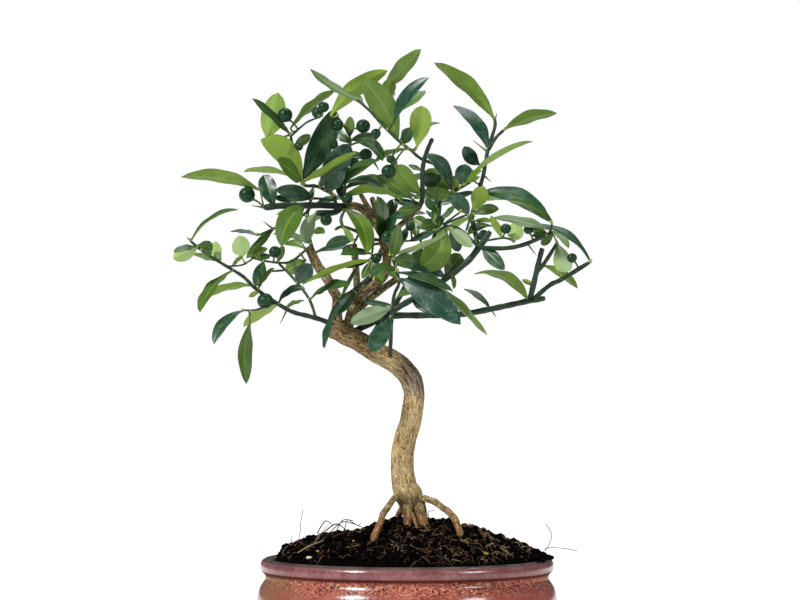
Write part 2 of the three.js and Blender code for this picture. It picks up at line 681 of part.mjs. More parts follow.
// Works out the middle line, facing and width of a leaf from its row, with its tip at a depth.
function leafPlan(row, root, tipDepth) {
  const [startX, startZ, tipX, tipZ, seenWidth, tone, arch] = row;
  const stalked = root.distance > 3;
  const rootPoint = seen(root.x, root.depth, root.z);
  const start = stalked ? seen(startX, between(root.depth, tipDepth, 0.15), startZ) : rootPoint;
  const tip = seen(tipX, tipDepth, tipZ);
  const chord = tip.clone().sub(start);
  const length = chord.length();
  const along = chord.clone().normalize();
  const width = Math.max(seenWidth, Math.min(12.5, Math.max(3, 0.32 * length)));
  const roll = Math.acos(Math.min(1, seenWidth / width));
  const lift = new THREE.Vector3(along.z, 0, -along.x).normalize();
  const upright = Math.abs(along.z) > 0.9;
  if ((upright ? lift.x : lift.z) < 0) {
    lift.negate();
  }
  const away = lift.clone().cross(along);
  if (away.y < 0) {
    away.negate();
  }
  const topSeen = tone < UNDERSIDE_TONE ? 1 : -1;
  const belly = away.clone().multiplyScalar(-topSeen * Math.cos(roll));
  const facing = belly.clone().addScaledVector(lift, Math.sin(roll));
  const rounded = width / length > 0.4;
  const narrow = seenWidth < 4 && Math.abs(arch) < 2;
  return { rootPoint, start, tip, length, along, width, arch, lift, belly, facing, rounded, stalked, narrow };
}

function leafMiddle(plan, t) {
  return plan.start.clone()
    .lerp(plan.tip, t)
    .addScaledVector(plan.lift, plan.arch * 4 * t * (1 - t))
    .addScaledVector(plan.belly, 0.05 * plan.length * 4 * t * (1 - t));
}

function leafHalfWidth(plan, t) {
  const peak = plan.rounded ? 1.3 : 1.08;
  const fullness = plan.rounded ? 0.56 : 0.66;
  return (plan.width / 2) * Math.sin(Math.PI * t ** peak) ** fullness;
}

const STATIONS = {
  small: [0.29, 0.71],
  large: [0.16, 0.44, 0.77],
};

// Closed blade with both faces split alike. A large one is folded a little along its midrib.
function leafSolid(plan, extra = 0) {
  const long = plan.length > 32 || Math.abs(plan.arch) > 3.5;
  const stations = long && !plan.narrow ? STATIONS.large : STATIONS.small;
  const thick = BLADE_THICKNESS / 2 + extra;
  const folded = plan.length * plan.width > FOLDED_SIZE;
  const section = (centre, along, half) => {
    const side = plan.facing.clone().cross(along).normalize();
    const raised = folded ? FOLD * half : 0;
    const spot = (across, high) => centre.clone()
      .addScaledVector(side, across * (half + extra))
      .addScaledVector(plan.facing, high * thick + Math.abs(across) * raised);
    if (!folded) {
      return [spot(1, -1), spot(1, 1), spot(-1, 1), spot(-1, -1)];
    }
    return [spot(1, -1), spot(1, 1), spot(0, 1), spot(-1, 1), spot(-1, -1), spot(0, -1)];
  };
  const rings = [];
  const firstAim = plan.stalked ? plan.start.clone().sub(plan.rootPoint).normalize() : plan.along;
  rings.push(section(plan.rootPoint, firstAim, PETIOLE_HALF_WIDTH));
  if (plan.stalked) {
    rings.push(section(plan.start, plan.along, PETIOLE_HALF_WIDTH));
  }
  for (const t of stations) {
    rings.push(section(leafMiddle(plan, t), plan.along, leafHalfWidth(plan, t)));
  }
  const head = plan.rootPoint.clone().addScaledVector(firstAim, -0.4 - extra);
  return loft(rings, head, plan.tip.clone().addScaledVector(plan.along, extra));
}

function ball(centre, radius, extra = 0) {
  const full = radius + extra;
  const rings = [-0.45, 0.5].map((level) => {
    const ringRadius = 1.04 * full * Math.sqrt(1 - level * level);
    return circle(ringRadius, centre.z + full * level, 6, centre.x, centre.y);
  });
  return loft(rings, centre.clone().setZ(centre.z - full), centre.clone().setZ(centre.z + full));
}

// Every placed solid with its node, so that later ones are bent clear of it.
const placed = [];

function remember(node, kind, solid) {
  placed.push({ node, kind, solid, box: solid.boundingBox() });
}

function boxesMeet(a, b) {
  return [0, 1, 2].every((axis) => a.min[axis] <= b.max[axis] && b.min[axis] <= a.max[axis]);
}

// Volume that a solid shares with other nodes, and with the leaves of its own node.
function sharedVolumes(node, solid) {
  const box = solid.boundingBox();
  const shared = { others: 0, own: 0 };
  for (const other of placed) {
    if (boxesMeet(box, other.box)) {
      if (other.node !== node) {
        shared.others += solid.intersect(other.solid).volume();
      } else if (other.kind === "leaf") {
        shared.own += solid.intersect(other.solid).volume();
      }
    }
  }
  return shared;
}

// Tries the depths in turn and keeps the first that is clear of the rest, or else the best.
function firstClear(node, depths, make) {
  let best = { score: Infinity };
  for (const depth of depths) {
    const shared = sharedVolumes(node, make(depth, LEAF_CLEARANCE));
    const score = 100 * shared.others + Math.max(0, shared.own - TOUCH_ALLOWED);
    if (score < best.score) {
      best = { score, depth };
    }
    if (score < 1e-6) {
      break;
    }
  }
  const solid = make(best.depth, 0);
  remember(node, "leaf", solid);
  return solid;
}

// The stems of a spray, where each later one starts and ends at the depth of the one that it meets.
function resolveStems(rows) {
  const stems = [];
  for (const row of rows) {
    const ends = [row.path[0], row.path[row.path.length - 1]];
    const depth = ends.map(([x, z], i) => {
      const root = nearestOnStems(stems, x, z);
      return root.distance < JOIN_REACH ? root.depth / DEPTH_SPREAD : row.depth[i];
    });
    stems.push(resolveStem({ ...row, depth }, DEPTH_SPREAD));
  }
  return stems;
}

function makeMesh(name, slot, colour, roughness, solid) {
  const data = solid.getMesh();
  const geometry = new THREE.BufferGeometry();
  geometry.setAttribute("position", new THREE.BufferAttribute(new Float32Array(data.vertProperties), 3));
  geometry.setIndex(new THREE.BufferAttribute(new Uint32Array(data.triVerts), 1));
  const material = new THREE.MeshStandardMaterial({ color: colour, roughness });
  material.name = slot;
  const mesh = new THREE.Mesh(geometry, material);
  mesh.name = name;
  return mesh;
}

function join(solids) {
  return solids.reduce((whole, solid) => whole.add(solid));
}

function largestBody(solid) {
  return solid.decompose().reduce((best, body) => (body.volume() > best.volume() ? body : best));
}

function buildPot() {
  let pot = turned([...POT_OUTSIDE, ...POT_INSIDE], ROUND_SEGMENTS);
  for (const angle of DRAIN_ANGLES) {
    const x = DRAIN_HOLE_REACH * Math.cos(radians(angle));
    const y = DRAIN_HOLE_REACH * Math.sin(radians(angle));
    pot = pot.subtract(disc(DRAIN_HOLE_RADIUS, -1, FLOOR_THICKNESS + 1, 16, x, y));
    pot = pot.subtract(radialBar(angle, DRAIN_HOLE_REACH, FOOT_RADIUS + 3, GROOVE_WIDTH, -1, GROOVE_DEPTH));
  }
  return pot;
}

// Thin plastic screen over the drain holes, open in two slots above each.
function buildDrainScreen() {
  const bottom = FLOOR_THICKNESS + GAP;
  let screen = disc(SCREEN_RADIUS, bottom, bottom + SCREEN_THICKNESS, 24);
  for (const angle of DRAIN_ANGLES) {
    for (const turn of [-8, 8]) {
      const from = DRAIN_HOLE_REACH - 5;
      screen = screen.subtract(radialBar(angle + turn, from, from + 10, 3.6, bottom - 1, bottom + 3));
    }
  }
  return screen;
}

// Depth of the hollow in the soil to the left of the trunk.
function soilDip(x, radius) {
  const reach = (x - SOIL_DIP_X) / SOIL_DIP_WIDTH;
  return SOIL_DIP_DEPTH * Math.exp(-reach * reach) * (1 - radius / RIM_RADIUS);
}

// Soil that fills the pot and rises to the trunk, with plain holes for the trunk and roots.
function buildSoil(trunkGrown) {
  const random = repeatable(5);
  const wall = POT_INSIDE.slice(2).reverse().map(([radius, z]) => [radius - GAP - 0.1, z + 0.1]);
  const screenTop = FLOOR_THICKNESS + SCREEN_THICKNESS + 2 * GAP;
  const rings = [
    circle(SCREEN_RADIUS + GAP + 0.2, screenTop, ROUND_SEGMENTS),
    circle(SCREEN_RADIUS + GAP + 0.3, FLOOR_THICKNESS + GAP, ROUND_SEGMENTS),
  ];
  wall[0][1] = FLOOR_THICKNESS + GAP;
  for (const [radius, z] of wall) {
    rings.push(circle(radius, z, ROUND_SEGMENTS));
  }
  for (const radius of [78.8, 75, 62, 38]) {
    const ring = circle(radius, 0, ROUND_SEGMENTS);
    for (const point of ring) {
      const tilt = SOIL_TILT * point.y * (1 - radius / RIM_RADIUS) - soilDip(point.x, radius);
      const lump = radius > 78 ? 0 : SOIL_LUMPS * (2 * random() - 1);
      point.z = readCurve(SOIL_HEIGHT, radius) + tilt + lump;
    }
    rings.push(ring);
  }
  const top = new THREE.Vector3(0, 0, SOIL_HEIGHT[0][1]);
  const soil = loft(rings, new THREE.Vector3(0, 0, screenTop), top);
  return largestBody(soil.subtract(trunkGrown));
}

function buildTrunk(extra) {
  const points = TRUNK_PATH.map(([x, z]) => seen(x, z < 110 ? 3 : 0, z));
  const widths = TRUNK_PATH.map(([, , width]) => width);
  const solids = [tube(points, widths, 9, extra)];
  for (const row of ROOTS) {
    const stem = resolveStem(row, 1);
    solids.push(tube(stem.points, stem.widths, row.width[0] > 2 ? 5 : 3, extra));
  }
  for (const row of LIMBS) {
    const stem = resolveStem(row, DEPTH_SPREAD);
    solids.push(tube(stem.points, stem.widths, row.width[0] > 4 ? 5 : 4, extra));
  }
  return join(solids);
}

// Leaf rows for a hidden spray, turned round its stem from one leaf to the next.
function backLeaves(spray, stem) {
  const random = repeatable(spray.seed);
  const rows = [];
  for (let i = 0; i < spray.leafCount; i += 1) {
    const share = between(BACK_LEAF_START, 1, i / (spray.leafCount - 1));
    const place = share * (stem.path.length - 1);
    const step = Math.min(Math.floor(place), stem.path.length - 2);
    const t = place - step;
    const x = between(stem.path[step][0], stem.path[step + 1][0], t);
    const z = between(stem.path[step][1], stem.path[step + 1][1], t);
    const angle = radians(GOLDEN_ANGLE * i + 40 * random());
    const length = BACK_LEAF_LENGTH * between(0.8, 1.15, random());
    const rise = length * between(-0.1, 0.55, random());
    const tone = between(0.1, 0.7, random());
    const reach = length * 0.85;
    rows.push([x, z, x + reach * Math.cos(angle), z + rise, 4, tone, 2, reach * Math.sin(angle)]);
  }
  return rows;
}

function buildSpray(name, spray, stems, trunkGrown) {
  const solids = stems.map((stem) => tube(stem.points, stem.widths, stem.widths[0] > 3 ? 5 : 4));
  for (const row of spray.leaves) {
    const root = nearestOnStems(stems, row[0], row[1]);
    const depths = DEPTH_TRIES.map((step) => root.depth + row[7] + step);
    solids.push(firstClear(name, depths, (depth, extra) => leafSolid(leafPlan(row, root, depth), extra)));
  }
  for (const [x, z, radius] of spray.fruits) {
    const root = nearestOnStems(stems, x, z);
    const depths = FRUIT_TRIES.map((step) => root.depth + step);
    solids.push(firstClear(name, depths, (depth, extra) => {
      const centre = seen(x, depth, z);
      const stalk = tube([seen(root.x, root.depth, root.z), centre], [1.4, 1.4], 3, extra);
      return stalk.add(ball(centre, radius, extra));
    }));
  }
  for (const [x, z, tipX, tipZ] of spray.thorns) {
    const root = nearestOnStems(stems, x, z);
    const rootPoint = seen(root.x, root.depth, root.z);
    solids.push(tube([rootPoint, seen(tipX, root.depth - 2, tipZ)], [1.8, 0.5], 3));
  }
  return largestBody(join(solids).subtract(trunkGrown));
}

const group = new THREE.Group();
group.name = "dwarf_orange_bonsai";

const trunk = buildTrunk(0);
const trunkGrown = buildTrunk(GAP + 0.05);
group.add(makeMesh("pot", "glazed_pot", 0xb0605c, 0.25, buildPot()));
group.add(makeMesh("drain_screen", "screen_plastic", 0x2c3a30, 0.6, buildDrainScreen()));
group.add(makeMesh("soil", "peat_soil", 0x1c1612, 0.95, buildSoil(trunkGrown)));
group.add(makeMesh("trunk", "bark", 0xa88b5e, 0.85, trunk));
remember("trunk", "stem", trunk);

const sprays = [];
for (const [name, spray] of Object.entries(SPRAYS)) {
  sprays.push({ name, spray, stems: resolveStems(spray.stems) });
}
for (const [name, spray] of Object.entries(BACK_SPRAYS)) {
  const stem = resolveStem(spray, DEPTH_SPREAD);
  const leafy = { ...spray, leaves: backLeaves(spray, stem), fruits: [], thorns: [] };
  sprays.push({ name, spray: leafy, stems: [stem] });
}
for (const { name, stems } of sprays) {
  for (const stem of stems) {
    remember(name, "stem", tube(stem.points, stem.widths, 6));
  }
}
for (const { name, spray, stems } of sprays) {
  group.add(makeMesh(name, "leaf_and_stem", spray.tint, 0.45, buildSpray(name, spray, stems, trunkGrown)));
}

export default group;
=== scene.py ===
"""Dwarf orange bonsai in its glazed round pot: the fine surfaces, materials, light and camera."""
import math

import bpy
import numpy as np
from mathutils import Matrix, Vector, kdtree, noise


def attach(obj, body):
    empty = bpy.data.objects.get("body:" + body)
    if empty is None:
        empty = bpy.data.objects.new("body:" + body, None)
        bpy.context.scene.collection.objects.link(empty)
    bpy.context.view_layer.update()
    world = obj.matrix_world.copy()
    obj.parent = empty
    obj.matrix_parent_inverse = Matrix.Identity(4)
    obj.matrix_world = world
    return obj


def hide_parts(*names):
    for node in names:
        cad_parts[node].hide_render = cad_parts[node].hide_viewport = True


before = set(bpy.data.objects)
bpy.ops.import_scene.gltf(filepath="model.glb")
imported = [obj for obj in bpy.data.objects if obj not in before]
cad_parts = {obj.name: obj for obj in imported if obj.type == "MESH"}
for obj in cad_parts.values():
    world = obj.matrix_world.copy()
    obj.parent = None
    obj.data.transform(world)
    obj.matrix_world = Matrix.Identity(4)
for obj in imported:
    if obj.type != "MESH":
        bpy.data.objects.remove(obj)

# The lists are in millimetres, as in the solid model
MM = 0.001

# Camera, as found from the ellipse of the pot's rim
EYE_DISTANCE = 2300
EYE_X = -4.2
EYE_Z = 230.8
SENSOR_WIDTH = 36
PHOTO_PIXELS = 800
PIXEL_SIZE = 0.6

# Floor and light, with the suns as name, place in metres, softness in degrees and strength
FLOOR_REACH = 9.0
WORLD_LIGHT = 0.1
WORLD_SEEN = 1.0
SUNS = [
    ("key_left", (-1.5, -1.3, 1.7), 10, 3.5),
    ("fill_right", (1.7, -1.1, 1.0), 18, 1.25),
    ("top", (0.3, 0.9, 2.2), 40, 1.3),
]

# Pot and screen, with the same driving dimensions as the solid model
RIM_RADIUS = 88
RIM_TOP = 76
FOOT_RADIUS = 62
FLOOR_THICKNESS = 8
DRAIN_HOLE_RADIUS = 6
DRAIN_HOLE_REACH = 24
DRAIN_ANGLES = [90, 210, 330]
GROOVE_WIDTH = 8
GROOVE_DEPTH = 2
SCREEN_RADIUS = 34
SCREEN_THICKNESS = 1.2
GAP = 0.3
POT_SPOKES = 144
FOOT_EDGE = 0.8

# Profiles of the pot as radius and height
POT_OUTSIDE = [
    [FOOT_RADIUS, 0], [FOOT_RADIUS + 0.6, 6], [73, 13], [83, 25], [88.6, 39], [RIM_RADIUS + 2, 50],
    [88.6, 58], [84.8, 65], [87.8, 69.4], [87.7, 73.6], [85, RIM_TOP],
]
POT_INSIDE = [
    [81.2, RIM_TOP - 0.4], [79.4, 73.6], [79.2, 66], [83, 50], [78, 29], [65, 15], [50, FLOOR_THICKNESS],
]

# Soil mound: its height at each radius, its tilt and the dip at its left
SOIL_HEIGHT = [[0, 97], [20, 96], [35, 92.5], [48, 90], [58, 86], [70, 82.6], [76, 80], [79, 75]]
SOIL_RADIUS = 78.7
SOIL_TILT = 0.14
SOIL_DIP_X = -33
SOIL_DIP_WIDTH = 16
SOIL_DIP_DEPTH = 7
SOIL_RINGS = 62
SOIL_SPOKES = 220

# What lies on the soil
CRUMB_COUNT = 2600
CLOD_COUNT = 420
LUMP_COUNT = 60
RIM_CRUMBS = 120
RIM_HEAP = [(70, 83), (76, 82), (81, 79), (87, RIM_TOP + 0.4)]
ROOTLET_COUNT = 2400
ROOTLET_STEPS = 8
TWIG_COUNT = 34
HAIR_ROOT_WIDTH = 0.45

# Stems: how far their depths are spread, and how near a stem joins another as seen
DEPTH_SPREAD = 1.5
JOIN_REACH = 2.5
THICK_STEM = 2.2

# Depths past the stem's that the solid model tries for leaf tips and fruits, in its order
DEPTH_TRIES = [0, -7, 7, -14, 14, -21, 21, -29, 29, -38, 38]
FRUIT_TRIES = [-5, -9, 4, -13, 9, -18, 14]

# Leaves: columns are places across the blade, from margin to margin
LEAF_ROWS = 15
LEAF_COLUMNS = [-1, -0.94, -0.68, -0.36, -0.07, 0.07, 0.36, 0.68, 0.94, 1]
BLADE_SHARE = 0.32
BLADE_WIDTHS = (3, 12.5)
BLADE_HALF_THICKNESS = 0.2
ROUND_BLADE = 0.4
STALK_REACH = 3
PETIOLE_RADIUS = 0.55
FOLD = 0.16
UNDERSIDE_TONE = 0.55

# Leaves of the sprays behind the crown, set by rule
GOLDEN_ANGLE = 137.5
BACK_LEAF_COUNT = 8
BACK_LEAF_LENGTH = 29
BACK_LEAF_START = 0.56

# Bark: the foot is the part of the trunk below its height
TRUNK_VOXEL = 0.5
FOOT_HEIGHT = 110
FOOT_DEPTH = 8
FOOT_SLIMNESS = 0.8
ROOT_SLIMNESS = 0.8
ROOTLET_WIDTH = 3
ROOT_KINK = 0.9

# Order of the materials in each piece
LEAF_TOP, LEAF_UNDER, STEM, FRUIT = range(4)
CRUMB, FIBRE, GRAIN = range(3)

# Kinds of bark
TRUNK_BARK, ROOT_BARK, LIMB_BARK, GREEN_BARK = range(4)
GREEN_LIMBS = 2

# Trunk: seen x, seen z and width
TRUNK_PATH = [
    [5, 80, 13], [3.6, 104, 17], [1.1, 114, 16.9], [-1.9, 121.6, 14.6], [-2.5, 141, 13.8],
    [2.6, 161, 12.9], [4.3, 174, 12.8], [2.4, 182.6, 12.8], [-1.9, 188.7, 13], [-7, 193.2, 13.2],
    [-17.4, 199.1, 12.6], [-28.3, 205.7, 12.2], [-36.5, 209.8, 12], [-43.5, 213.4, 10.4],
]

# Stems are written as (path as seen x and z, depths at its ends, widths at its ends)
ROOTS = [
    ([[-2, 114.5], [-7.2, 112.2], [-12.6, 105], [-16.4, 96], [-19.6, 88], [-21, 82]], [-3, -32],
      [5, 5.2]),
    ([[5, 113], [10.8, 111.6], [18.6, 108.2], [25.8, 102.4], [30, 96.2], [33, 87]], [-3, -19], [5.2, 5]),
    ([[0, 108], [0.6, 101], [0.4, 95], [-0.6, 86]], [-3, -9], [8.4, 5.4]),
    ([[7, 110], [8.8, 101], [10, 94], [11.6, 85]], [-2, -8], [9.6, 7.6]),
    ([[3.2, 103], [5.2, 96.5], [8, 90], [9.2, 83]], [-6, -18], [2, 1.8]),
    ([[-0.8, 97.5], [2.4, 94], [5.4, 91.4], [6.4, 87]], [-5, -15], [1.4, 1.2]),
    ([[-1, 110], [-4, 104], [-6, 97], [-8, 87]], [4, 34], [6, 4.4]),
    ([[4, 110], [8, 104], [10, 97], [12, 87]], [4, 38], [6, 4.4]),
]

# The last two are green
LIMBS = [
    # limb with a cut end at the upper left
    ([[-41, 213], [-42.2, 224], [-42, 231.7], [-44.6, 237.2], [-48.7, 245], [-53.8, 251.6],
      [-58.9, 262.6]], [0, 8], [6.6, 5.6]),
    # limb that carries the crown, its two arms and its cut twigs
    ([[-36, 211], [-33.6, 222], [-31, 230.4], [-25, 236.3], [-17.5, 241.5], [-13, 247.5], [-12, 258],
      [-14, 265.4], [-14.3, 272]], [0, 10], [6.6, 5.4]),
    ([[-14.3, 270.5], [-18, 276.5], [-22.5, 281.8], [-28, 286], [-33, 287.4], [-37, 286.6]], [10, 14],
      [6.4, 4.4]),
    ([[-14.6, 272], [-17.4, 279], [-19.2, 286], [-21, 292]], [10, 20], [5, 3.2]),
    ([[-16, 274], [-20.5, 281.5], [-25, 289], [-28.5, 295.5]], [10, 17], [4.6, 2.6]),
    ([[-14, 270], [-10, 272.3], [-2, 277.5], [7.6, 287.6]], [10, 0], [2.8, 4.4]),
    ([[-14, 265], [-21.5, 264]], [9, 3], [2, 1.8]),
    # dark upright stem and olive stem between the limbs
    ([[-31.6, 229], [-30, 236], [-30.7, 250], [-31.9, 264.5]], [4, -2], [4.6, 4]),
    ([[-36, 212], [-31, 222.6], [-25, 229.2], [-15, 237.2], [-5, 244.2]], [0, 2], [5, 4]),
]

